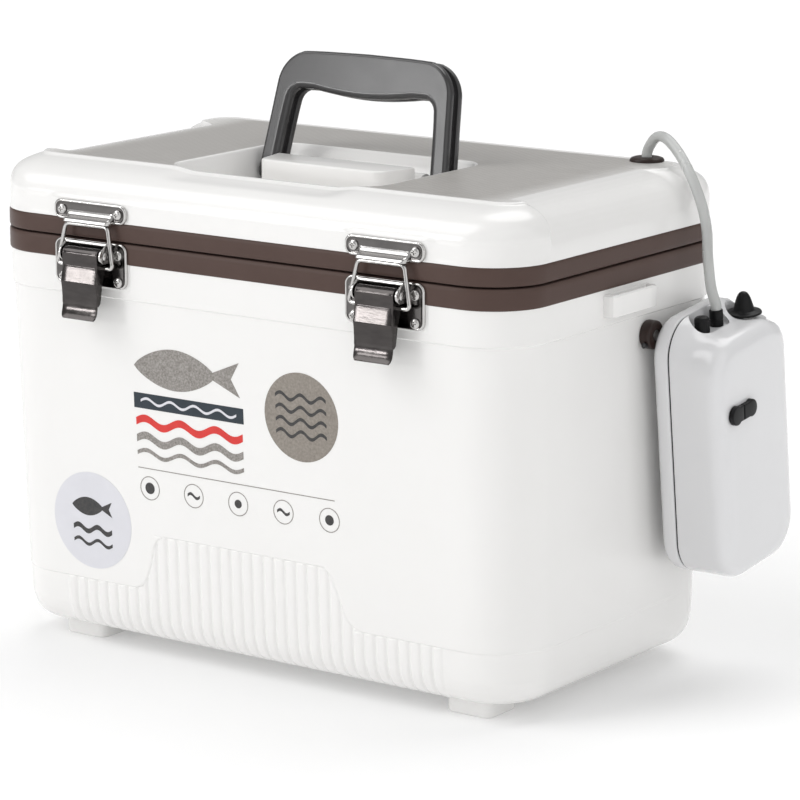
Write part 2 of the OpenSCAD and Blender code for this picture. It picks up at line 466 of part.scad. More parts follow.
// ---- pump case: local frame, x from its back (0) to its front (pump_t), z up ----
phw = pump_w / 2;
phh = pump_h / 2;
seam_p = 11;
cover_out = [[0, phw - 4.2, phh - 4.2, 17.8], [1.2, phw - 2, phh - 2, 20], [3.6, phw - 0.4, phh - 0.4, 21.6], [seam_p - 0.6, phw, phh, 22]];
cover_in = [[2.2, phw - 5.4, phh - 5.4, 16.6], [4, phw - 2.8, phh - 2.8, 19.2], [seam_p, phw - 2.2, phh - 2.2, 19.8]];
house_out = [[seam_p + 0.6, phw, phh, 22], [pump_t - 9, phw, phh, 22], [pump_t - 5, phw - 0.9, phh - 0.9, 21.1],
  [pump_t - 2.2, phw - 2.9, phh - 3.1, 19.4], [pump_t - 0.7, phw - 5.4, phh - 6, 17], [pump_t, phw - 8, phh - 9, 14.6]];
house_in = [[seam_p, phw - 2.2, phh - 2.2, 19.8], [pump_t - 9.4, phw - 2.2, phh - 2.2, 19.8],
  [pump_t - 5.8, phw - 3.2, phh - 3.2, 18.8], [pump_t - 3.4, phw - 5.2, phh - 5.6, 17], [pump_t - 2.3, phw - 8.4, phh - 9.4, 14]];
out_x = 19;            // line of the two outlets
cap_y = -14;
line_y = 1.5;
rec_z = phh - 10;        // floor of the recesses in the top
sw_x = 24.5;
sw_y = 22.5;
dc_y = -9.5;             // power socket, and the button its cover is held by
dc_z = 23.5;
btn_y = -25.5;
bend_y = -18.6;          // line the cover bends along
bend_x = pump_t + 2.9;
post = [[-27, -63.5, 3.2], [27, -63.5, 3.2], [-31, 40, 4], [31, 28, 4]];   // case screws: y, z, post radius
module upright(x, y, r, z0, z1) translate([x, y, z0]) cylinder(r = r, h = z1 - z0);
module pump_back_cover() pump_at() color(white) difference() {
  union() {
    xloft(cover_out);
  }
  difference() { xloft(cover_in); for (p = post) translate([0, p[0], p[1]]) rotate([0, 90, 0]) cylinder(r = p[2] + 0.1, h = seam_p - 0.6); }
  for (p = post) translate([-1, p[0], p[1]]) rotate([0, 90, 0]) { cylinder(r = 1.7, h = 20); cylinder(r = 2.9, h = 3.4); }
}
module pump_seal() pump_at() color(black) translate([seam_p - 0.55, 0, 0]) difference() {
  xloft([[0, phw - 0.6, phh - 0.6, 21.4], [1.1, phw - 0.6, phh - 0.6, 21.4]]);
  xloft([[-1, phw - 3.4, phh - 3.4, 18.6], [3, phw - 3.4, phh - 3.4, 18.6]]);
}
module pump_housing() pump_at() color(white) difference() {
  xloft(house_out);
  difference() {
    xloft(house_in);
    // walls of the recesses in the top, and the screw posts
    translate([out_x - 9.2, cap_y, rec_z - 2]) cube([18.4, line_y - cap_y, 20]);
    for (y = [cap_y, line_y]) upright(out_x, y, 9.2, rec_z - 2, phh);
    upright(sw_x, sw_y, 12.4, rec_z - 2, phh);
    for (p = post) translate([seam_p + 0.6, p[0], p[1]]) rotate([0, 90, 0]) cylinder(r = p[2], h = pump_t - seam_p);
  }
  // the recesses themselves
  translate([out_x - 7.2, cap_y, rec_z]) cube([14.4, line_y - cap_y, 20]);
  for (y = [cap_y, line_y]) upright(out_x, y, 7.2, rec_z, phh + 5);
  upright(sw_x, sw_y, 10.6, rec_z, phh + 5);
  // nozzles, switch bushing, power socket, screws
  for (y = [cap_y, line_y]) upright(out_x, y, 3.2, rec_z - 8, phh);
  upright(sw_x, sw_y, 4, rec_z - 8, phh);
  translate([30, dc_y, dc_z]) rotate([0, 90, 0]) cylinder(r = 5, h = 30);
  translate([30, btn_y, dc_z]) rotate([0, 90, 0]) cylinder(r = 1.7, h = 30);
  for (p = post) translate([seam_p, p[0], p[1]]) rotate([0, 90, 0]) cylinder(r = 1.5, h = 16);
}
module pump_screws() pump_at() color(steel) for (p = post) translate([0, p[0], p[1]]) rotate([0, 90, 0]) {
  translate([0, 0, 0.8]) cylinder(r = 2.7, h = 1.5);
  translate([0, 0, 2.2]) cylinder(r = 1.4, h = 22);
}
module pump_chassis() pump_at() color([0.2, 0.2, 0.22]) {
  difference() {
    union() {
      translate([5, -33, 3.6]) cube([34, 64, 2]);
      translate([5, -33, 5.5]) cube([3, 64, 12]);
      translate([36, -26, 5.5]) cube([3, 18, 11]);
    }
    translate([22, -20.5, 16]) rotate([90, 0, 0]) cylinder(r = 10.15, h = 30, center = true);
  }
}
module batteries() pump_at() color([0.5, 0.42, 0.2]) for (y = [-17.2, 17.2]) {
  upright(22, y, 16.6, -60, -1);
  upright(22, y, 4.7, -1.1, 0.6);
}
coil_n = 54;
module contact_springs() for (y = [-17.2, 17.2])
  sweep([for (i = [0:coil_n]) let (a = 360 * 3.4 * i / coil_n, r = 5.4 - 1.9 * i / coil_n) [22 + r * cos(a), y + r * sin(a), -70.3 + 9.5 * i / coil_n]], 0.5, 8, [0, 0, 1]);
module battery_contacts() pump_at() color([0.75, 0.62, 0.3]) {
  contact_springs();
  translate([14, -23, -71.4]) cube([16, 46, 0.8]);
  for (y = [-17.2, 17.2]) translate([16, y - 6, 0.75]) cube([12, 12, 0.6]);
}
module motor() pump_at() color(steel) difference() {
  union() {
    translate([22, -7, 16]) rotate([90, 0, 0]) cylinder(r = 10, h = 25);
    translate([22, -5, 16]) rotate([90, 0, 0]) cylinder(r = 3.4, h = 2.1);
  }
  translate([22, -1, 16]) rotate([90, 0, 0]) cylinder(r = 1.05, h = 22);
}
crank_e = 1.5;
module motor_crank() pump_at() color([0.8, 0.8, 0.82]) {
  translate([22, -2.5, 16]) rotate([90, 0, 0]) cylinder(r = 1, h = 18);
  translate([22, 1.4, 16]) rotate([90, 0, 0]) cylinder(r = 5.2, h = 4);
  translate([22, 6.4, 16 - crank_e]) rotate([90, 0, 0]) cylinder(r = 1.2, h = 5.2);
}
module pump_yoke() pump_at() color([0.85, 0.83, 0.78]) difference() {
  union() {
    translate([16, 2.6, 16 - crank_e - 6.4]) cube([12, 3, 19]);
    translate([22, 4.1, 26]) cylinder(r = 2.2, h = 6.8);
  }
  translate([18, 2, 16 - crank_e - 4.4]) cube([8, 5, 8.8]);
}
module diaphragm() pump_at() color([0.15, 0.15, 0.15]) difference() {
  translate([22, 4.1, 0]) { upright(0, 0, 11, 33, 34.6); upright(0, 0, 5, 32.9, 35.6); }
  translate([22, 4.1, 32]) cylinder(r = 2.3, h = 1.3);
}
module pump_head() pump_at() color([0.25, 0.25, 0.27]) difference() {
  union() {
    upright(22, 4.1, 12.6, 34.7, 43);
    upright(20.5, 2.5, 2.4, 42.9, 48);
  }
  translate([22, 4.1, 34]) cylinder(r = 10, h = 5);
  translate([20.5, 2.5, 34]) cylinder(r = 1.2, h = 20);
}
module outlet_manifold() pump_at() color(black) difference() {
  union() {
    translate([out_x - 4.6, cap_y - 4.6, rec_z - 9]) cube([9.2, line_y - cap_y + 9.2, 6.9]);
    for (y = [cap_y, line_y]) upright(out_x, y, 2.4, rec_z - 2.2, rec_z + 7);
    upright(out_x, line_y, 2.4, rec_z - 13, rec_z - 8.9);
  }
  for (y = [cap_y, line_y]) upright(out_x, y, 1.4, rec_z - 6, rec_z + 8);
  upright(out_x, line_y, 1.3, rec_z - 14, rec_z - 5);
}
module internal_hose() pump_at() color([0.8, 0.8, 0.78]) difference() {
  sweep(line_points([[20.5, 2.5, 44], [20.5, 2.5, 48.5], [out_x, line_y, 51.5], [out_x, line_y, 55.8]], 4), 3.3, 12, [1, 0.6, 0]);
  upright(20.5, 2.5, 2.5, 40, 48.3);
  upright(out_x, line_y, 2.5, rec_z - 13.3, rec_z);
}
module outlet_cap() pump_at() color(black) difference() {
  union() { upright(out_x, cap_y, 4.4, rec_z + 0.2, rec_z + 9.2); upright(out_x, cap_y, 3.7, rec_z + 9.1, rec_z + 9.9); }
  upright(out_x, cap_y, 2.48, rec_z - 1, rec_z + 7.3);
}
module line_collar() pump_at() color(black) difference() {
  upright(out_x, line_y, 3.9, rec_z + 0.1, rec_z + 9.4);
  upright(out_x, line_y, 2.45, rec_z - 1, rec_z + 12);
  upright(out_x, line_y, line_d / 2 + 0.1, rec_z + 7.05, rec_z + 12);
}
module switch_body() pump_at() color([0.12, 0.12, 0.13]) difference() {
  union() {
    translate([sw_x - 7, sw_y - 7, rec_z - 21]) cube([14, 13.5, 18.9]);
    upright(sw_x, sw_y, 3.9, rec_z - 2.2, rec_z + 2.6);
  }
  upright(sw_x, sw_y, 2.7, rec_z - 5.2, rec_z + 4);
}
module switch_nut() pump_at() color(steel) difference() {
  translate([sw_x, sw_y, rec_z + 0.1]) cylinder(r = 6.6, h = 1.6, $fn = 6);
  upright(sw_x, sw_y, 3.98, rec_z - 1, rec_z + 4);
}
module switch_lever() pump_at() color(steel) {
  translate([sw_x, sw_y, rec_z - 1.6]) sphere(r = 2, $fn = 24);
  upright(sw_x, sw_y, 1.3, rec_z - 1.6, rec_z + 12);
}
module switch_boot() pump_at() color(black) translate([sw_x, sw_y, rec_z]) difference() {
  rotate_extrude() polygon([[0, 1.8], [10, 1.8], [10.2, 2.6], [9.6, 4], [7.4, 4.6], [6, 5.8], [4.6, 8.4], [3.4, 11.4], [2.5, 13.4], [1.4, 14.4], [0, 14.6]]);
  rotate_extrude() polygon([[0, 1], [7.2, 1], [5.6, 3.2], [4.4, 5], [3, 8.4], [2, 11], [1.7, 12.4], [0, 12.6]]);
}
module dc_socket() pump_at() color(black) translate([0, dc_y, dc_z]) rotate([0, 90, 0]) difference() {
  union() { translate([0, 0, 33]) cylinder(r = 4.8, h = pump_t - 33.2); translate([0, 0, 33]) cylinder(r = 6, h = 7.4); }
  translate([0, 0, 35.5]) cylinder(r = 3.3, h = 20);
}
module dc_button() pump_at() color(black) translate([0, 0, dc_z]) {
  translate([pump_t + 0.1, btn_y, 0]) rotate([0, 90, 0]) cylinder(r = 5.5, h = 2.8);
  translate([pump_t + 0.1, btn_y, -4.4]) cube([2.8, bend_y - 0.35 - btn_y, 8.8]);
  translate([pump_t - 4.2, btn_y, 0]) rotate([0, 90, 0]) { cylinder(r = 1.6, h = 5); cylinder(r = 2.3, h = 1.2); }
}
module dc_cover() pump_at() color(black) translate([0, 0, dc_z]) {
  translate([pump_t + 0.15, dc_y, 0]) rotate([0, 90, 0]) cylinder(r = 4.9, h = 2.75);
  translate([pump_t + 0.15, bend_y + 0.35, -4.4]) cube([2.75, dc_y - bend_y - 0.35, 8.8]);
  translate([pump_t - 1.6, dc_y, 0]) rotate([0, 90, 0]) cylinder(r = 2.5, h = 2);
}

// ---- air line ----
// outer line: from the collar on the pump, up over the lid's edge and down into the grommet
rise = [0, -sin(pump_tilt), cos(pump_tilt)];
line_start = [pump_x + out_x, pump_y, pump_z] + line_y * [0, cos(pump_tilt), sin(pump_tilt)] + (rec_z + 7.1) * rise;
line_pts = [[204, 57, 226], [201, 58, 243], [199, 60, 256], [195, 62, 268], [188, 65, 280], [179, 69, 291], [169, 74, 299],
  [160, 78, 303.5], [152, 82, 303], [146, 85, 298]];
line_end = [plug_x, plug_y, lid_top - 8];
module air_line() at() color([0.85, 0.86, 0.86]) sweep(
  line_points(concat([line_start, line_start + 2.8 * rise, line_start + 5.6 * rise], line_pts, [line_end + [0, 0, 12.5], line_end + [0, 0, 7], line_end]), 3), line_d / 2, 12, [0.416, 0.909, 0]);
// inner line: from the underside of the lid down to the stone on the floor of the box
stone_z = base_z + 20.5 + 7.3;
inner_pts = [[plug_x, plug_y, lid_lo + 12], [plug_x, plug_y, lid_lo + 5], [plug_x, plug_y, 240], [143, 85, 215], [144, 80, 180], [145, 77, 140], [145, 75, 100], [144, 74, 70],
  [142, 68, 49], [139, 57, 40.5], [137, 46, stone_z], [137, 41, stone_z]];
module inner_air_line() at() color([0.85, 0.86, 0.86]) sweep(line_points(inner_pts, 3), line_d / 2, 12, [1, 0, 0]);
module air_stone() at() color([0.35, 0.5, 0.62]) translate([137, 40.9, stone_z]) rotate([90, 0, 0]) {
  cylinder(r = 2.2, h = 6.2);
  translate([0, 0, 6]) cylinder(r = 7.2, h = 26);
}

outer_shell();
body_foam();
inner_liner();
body_trim();
feet();
hinge_body_leaves();
hinge_pins();
hinge_body_screws();
latch_base_left();
latch_base_right();
latch_base_screws();
latch_pivot_pins();
latch_lever_left();
latch_lever_right();
latch_bail_left();
latch_bail_right();
lid_shell();
lid_foam();
lid_liner();
lid_trim();
lid_gasket();
hinge_lid_leaves();
hinge_lid_screws();
keeper_left();
keeper_right();
keeper_screws();
handle();
handle_block();
handle_pins();
line_grommet();
pump_pegs();
peg_screws();
pump_rail();
pump_clip();
pump_back_cover();
pump_seal();
pump_housing();
pump_screws();
pump_chassis();
batteries();
battery_contacts();
motor();
motor_crank();
pump_yoke();
diaphragm();
pump_head();
internal_hose();
outlet_manifold();
outlet_cap();
line_collar();
switch_body();
switch_nut();
switch_lever();
switch_boot();
dc_socket();
dc_button();
dc_cover();
air_line();
inner_air_line();
air_stone();
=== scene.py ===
import json
import math
import bpy
import bmesh
import numpy as np
from mathutils import Vector
from mathutils.geometry import tessellate_polygon
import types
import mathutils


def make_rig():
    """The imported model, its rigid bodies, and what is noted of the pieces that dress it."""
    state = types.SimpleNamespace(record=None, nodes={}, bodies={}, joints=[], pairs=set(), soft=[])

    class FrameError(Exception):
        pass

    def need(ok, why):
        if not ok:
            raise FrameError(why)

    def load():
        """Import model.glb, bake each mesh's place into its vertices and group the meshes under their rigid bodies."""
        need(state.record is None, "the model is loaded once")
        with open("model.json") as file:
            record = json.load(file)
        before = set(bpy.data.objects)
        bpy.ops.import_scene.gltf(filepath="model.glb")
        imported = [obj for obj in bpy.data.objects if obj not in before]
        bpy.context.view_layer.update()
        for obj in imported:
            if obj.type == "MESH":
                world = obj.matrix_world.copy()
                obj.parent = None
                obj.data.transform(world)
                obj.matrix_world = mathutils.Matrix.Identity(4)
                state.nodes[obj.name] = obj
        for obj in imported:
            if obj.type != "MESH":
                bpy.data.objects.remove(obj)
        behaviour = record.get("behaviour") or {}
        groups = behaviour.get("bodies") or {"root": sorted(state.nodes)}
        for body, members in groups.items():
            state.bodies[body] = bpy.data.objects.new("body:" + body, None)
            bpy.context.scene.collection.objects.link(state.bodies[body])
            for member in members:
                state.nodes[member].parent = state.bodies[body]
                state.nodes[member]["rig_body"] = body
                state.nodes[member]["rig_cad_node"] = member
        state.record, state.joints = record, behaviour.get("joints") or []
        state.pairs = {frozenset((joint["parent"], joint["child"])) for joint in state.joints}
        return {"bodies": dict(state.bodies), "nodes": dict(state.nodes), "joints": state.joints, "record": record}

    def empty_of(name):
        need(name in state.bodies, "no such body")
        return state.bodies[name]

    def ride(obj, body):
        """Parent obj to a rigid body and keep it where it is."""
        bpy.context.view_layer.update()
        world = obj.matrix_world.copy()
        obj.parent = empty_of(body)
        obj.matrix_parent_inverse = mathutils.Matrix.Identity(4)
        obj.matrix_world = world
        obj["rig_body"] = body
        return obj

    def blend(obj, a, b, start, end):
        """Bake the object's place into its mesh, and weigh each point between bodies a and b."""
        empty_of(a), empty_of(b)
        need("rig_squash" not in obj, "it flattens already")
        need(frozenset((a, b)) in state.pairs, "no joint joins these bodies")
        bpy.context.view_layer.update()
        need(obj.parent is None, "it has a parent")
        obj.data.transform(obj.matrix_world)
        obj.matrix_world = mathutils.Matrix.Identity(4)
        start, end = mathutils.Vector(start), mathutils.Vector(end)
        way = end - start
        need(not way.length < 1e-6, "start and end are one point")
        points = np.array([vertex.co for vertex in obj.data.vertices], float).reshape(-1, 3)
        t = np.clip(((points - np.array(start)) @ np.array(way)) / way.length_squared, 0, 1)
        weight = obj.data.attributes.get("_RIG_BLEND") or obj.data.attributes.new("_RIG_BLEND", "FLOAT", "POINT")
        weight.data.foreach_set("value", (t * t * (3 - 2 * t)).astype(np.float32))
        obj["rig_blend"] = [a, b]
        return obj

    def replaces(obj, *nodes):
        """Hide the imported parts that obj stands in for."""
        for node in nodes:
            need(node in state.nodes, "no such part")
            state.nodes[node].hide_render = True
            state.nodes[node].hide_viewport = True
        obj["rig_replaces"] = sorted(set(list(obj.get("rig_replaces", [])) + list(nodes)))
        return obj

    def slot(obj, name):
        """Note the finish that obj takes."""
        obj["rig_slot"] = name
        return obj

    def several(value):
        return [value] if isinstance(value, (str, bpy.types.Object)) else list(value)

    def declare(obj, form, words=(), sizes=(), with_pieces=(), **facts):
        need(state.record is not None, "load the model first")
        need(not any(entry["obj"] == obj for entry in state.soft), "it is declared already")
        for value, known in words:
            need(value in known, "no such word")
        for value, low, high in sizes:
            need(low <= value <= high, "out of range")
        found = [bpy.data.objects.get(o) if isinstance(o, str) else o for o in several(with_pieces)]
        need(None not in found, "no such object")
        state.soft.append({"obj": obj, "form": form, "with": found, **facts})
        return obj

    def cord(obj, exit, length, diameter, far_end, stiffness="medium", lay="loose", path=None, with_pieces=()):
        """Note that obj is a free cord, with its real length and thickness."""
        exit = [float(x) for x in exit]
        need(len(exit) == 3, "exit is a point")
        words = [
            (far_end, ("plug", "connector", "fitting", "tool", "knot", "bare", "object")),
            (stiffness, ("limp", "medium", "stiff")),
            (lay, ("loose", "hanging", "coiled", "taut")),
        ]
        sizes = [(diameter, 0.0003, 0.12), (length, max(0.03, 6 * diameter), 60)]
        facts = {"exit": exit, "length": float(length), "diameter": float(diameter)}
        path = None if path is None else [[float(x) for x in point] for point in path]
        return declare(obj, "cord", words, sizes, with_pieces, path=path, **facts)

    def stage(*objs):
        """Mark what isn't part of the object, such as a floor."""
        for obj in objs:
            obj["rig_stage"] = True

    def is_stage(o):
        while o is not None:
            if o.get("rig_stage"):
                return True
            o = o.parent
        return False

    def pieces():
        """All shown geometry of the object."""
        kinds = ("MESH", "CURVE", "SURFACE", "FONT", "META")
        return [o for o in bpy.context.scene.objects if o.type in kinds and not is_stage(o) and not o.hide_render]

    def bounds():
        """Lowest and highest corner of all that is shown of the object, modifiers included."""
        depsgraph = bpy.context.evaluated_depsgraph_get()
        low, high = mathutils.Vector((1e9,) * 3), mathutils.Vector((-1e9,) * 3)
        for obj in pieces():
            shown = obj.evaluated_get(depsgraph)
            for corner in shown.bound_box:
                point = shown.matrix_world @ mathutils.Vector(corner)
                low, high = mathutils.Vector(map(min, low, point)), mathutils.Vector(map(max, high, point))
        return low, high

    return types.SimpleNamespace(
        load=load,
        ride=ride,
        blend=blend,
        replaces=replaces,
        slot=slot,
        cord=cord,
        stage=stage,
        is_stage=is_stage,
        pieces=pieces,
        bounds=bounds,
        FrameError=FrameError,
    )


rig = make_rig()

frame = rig.load()
cad_lo, cad_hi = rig.bounds()
scene = bpy.context.scene
OFF = np.array([-23.2, 2.625, 0.0])      # middle of the box (mm) to the frame's origin


def W(p):
    """millimetres about the middle of the box -> metres in the frame"""
    return (np.asarray(p, float) + OFF) / 1000.0


# ------------------------------------------------------------------ camera
cam_data = bpy.data.cameras.new("view")
cam = bpy.data.objects.new("view", cam_data)
scene.collection.objects.link(cam)
scene.camera = cam
cam.location = Vector(W((1232, -1681, 602)))
aim = Vector(W((20.6, 14.55, 145.3)))
cam.rotation_mode = "QUATERNION"
cam.rotation_quaternion = (aim - cam.location).to_track_quat("-Z", "Y")
cam_data.lens = 164.6
cam_data.sensor_width = 36
cam_data.clip_start = 0.05
cam_data.clip_end = 60
scene.view_settings.view_transform = "Standard"
scene.view_settings.look = "None"
scene.view_settings.exposure = 0
scene.view_settings.gamma = 1


# ------------------------------------------------------------------ materials
def material(name, color, color2=None, rough=0.4, rough2=None, metallic=0.0, grain=60.0, bump=0.0, bump_scale=900.0,
             coat=0.0, coat_rough=0.1, ior=1.5, transmission=0.0, stretch=(1, 1, 1), sheen=0.0, wave=None, wave2=None,
             detail=3.0, speck=None, sss=0.0, aniso=0.0, spec=0.5, fade=None):
    m = bpy.data.materials.new(name)
    m.use_nodes = True
    nt = m.node_tree
    b = nt.nodes["Principled BSDF"]
    b.inputs["Metallic"].default_value = metallic
    b.inputs["IOR"].default_value = ior
    b.inputs["Coat Weight"].default_value = coat
    b.inputs["Coat Roughness"].default_value = coat_rough
    b.inputs["Transmission Weight"].default_value = transmission
    b.inputs["Sheen Weight"].default_value = sheen
    b.inputs["Specular IOR Level"].default_value = spec
    if sss:
        b.inputs["Subsurface Weight"].default_value = sss
        b.inputs["Subsurface Scale"].default_value = 0.004
    co = nt.nodes.new("ShaderNodeTexCoord")
    mp = nt.nodes.new("ShaderNodeMapping")
    mp.inputs["Scale"].default_value = stretch
    nt.links.new(co.outputs["Object"], mp.inputs["Vector"])
    n = nt.nodes.new("ShaderNodeTexNoise")
    n.inputs["Scale"].default_value = grain
    n.inputs["Detail"].default_value = detail
    n.inputs["Roughness"].default_value = 0.55
    nt.links.new(mp.outputs["Vector"], n.inputs["Vector"])
    ramp = nt.nodes.new("ShaderNodeValToRGB")
    ramp.color_ramp.elements[0].position = 0.3
    ramp.color_ramp.elements[1].position = 0.7
    ramp.color_ramp.elements[0].color = (*color, 1)
    c2 = color2 or tuple(min(1, c * 1.04) for c in color)
    ramp.color_ramp.elements[1].color = (*c2, 1)
    nt.links.new(n.outputs["Fac"], ramp.inputs["Fac"])
    col = ramp.outputs["Color"]
    if speck:
        v = nt.nodes.new("ShaderNodeTexVoronoi")
        v.inputs["Scale"].default_value = speck[0]
        nt.links.new(co.outputs["Object"], v.inputs["Vector"])
        r3 = nt.nodes.new("ShaderNodeValToRGB")
        r3.color_ramp.elements[0].position = 0.1
        r3.color_ramp.elements[1].position = 0.5
        r3.color_ramp.elements[0].color = (*speck[1], 1)
        r3.color_ramp.elements[1].color = (1, 1, 1, 1)
        nt.links.new(v.outputs["Distance"], r3.inputs["Fac"])
        mx = nt.nodes.new("ShaderNodeMix")
        mx.data_type = "RGBA"
        mx.blend_type = "MULTIPLY"
        mx.inputs["Factor"].default_value = 0.8
        nt.links.new(col, mx.inputs["A"])
        nt.links.new(r3.outputs["Color"], mx.inputs["B"])
        col = mx.outputs["Result"]
    if fade:
        # painted shade: the grey of the ribbed field stands in for the top lying in shade and runs out, by x position,
        # into a paler colour towards the plain white of both ends
        sx = nt.nodes.new("ShaderNodeSeparateXYZ")
        nt.links.new(co.outputs["Object"], sx.inputs["Vector"])
        ad = nt.nodes.new("ShaderNodeMath")
        ad.operation = "ADD"
        ad.inputs[1].default_value = fade[0]
        nt.links.new(sx.outputs["X"], ad.inputs[0])
        ab = nt.nodes.new("ShaderNodeMath")
        ab.operation = "ABSOLUTE"
        nt.links.new(ad.outputs["Value"], ab.inputs[0])
        fr_ = nt.nodes.new("ShaderNodeMapRange")
        fr_.interpolation_type = "SMOOTHSTEP"
        fr_.inputs["From Min"].default_value = fade[1]
        fr_.inputs["From Max"].default_value = fade[2]
        nt.links.new(ab.outputs["Value"], fr_.inputs["Value"])
        fx_ = nt.nodes.new("ShaderNodeMix")
        fx_.data_type = "RGBA"
        nt.links.new(fr_.outputs["Result"], fx_.inputs["Factor"])
        nt.links.new(col, fx_.inputs["A"])
        fx_.inputs["B"].default_value = (*fade[3], 1)
        col = fx_.outputs["Result"]
    nt.links.new(col, b.inputs["Base Color"])
    rr = nt.nodes.new("ShaderNodeMapRange")
    rr.inputs["From Min"].default_value = 0.3
    rr.inputs["From Max"].default_value = 0.7
    rr.inputs["To Min"].default_value = rough
    rr.inputs["To Max"].default_value = rough2 if rough2 is not None else min(1, rough * 1.25)
    nt.links.new(n.outputs["Fac"], rr.inputs["Value"])
    nt.links.new(rr.outputs["Result"], b.inputs["Roughness"])
    heights = []
    if bump:
        n2 = nt.nodes.new("ShaderNodeTexNoise")
        n2.inputs["Scale"].default_value = bump_scale
        n2.inputs["Detail"].default_value = 2
        nt.links.new(mp.outputs["Vector"], n2.inputs["Vector"])
        heights.append((n2.outputs["Fac"], bump))
    for wv in (wave, wave2):
        if wv:
            w = nt.nodes.new("ShaderNodeTexWave")
            w.wave_type = "BANDS"
            w.bands_direction = wv[0]
            w.inputs["Scale"].default_value = wv[1]
            w.inputs["Distortion"].default_value = 0
            nt.links.new(co.outputs["Object"], w.inputs["Vector"])
            heights.append((w.outputs["Fac"], wv[2]))
    last = None
    for h, amount in heights:
        bp = nt.nodes.new("ShaderNodeBump")
        bp.inputs["Strength"].default_value = 1.0
        bp.inputs["Distance"].default_value = amount
        nt.links.new(h, bp.inputs["Height"])
        if last:
            nt.links.new(last.outputs["Normal"], bp.inputs["Normal"])
        last = bp
    if last:
        nt.links.new(last.outputs["Normal"], b.inputs["Normal"])
    return m


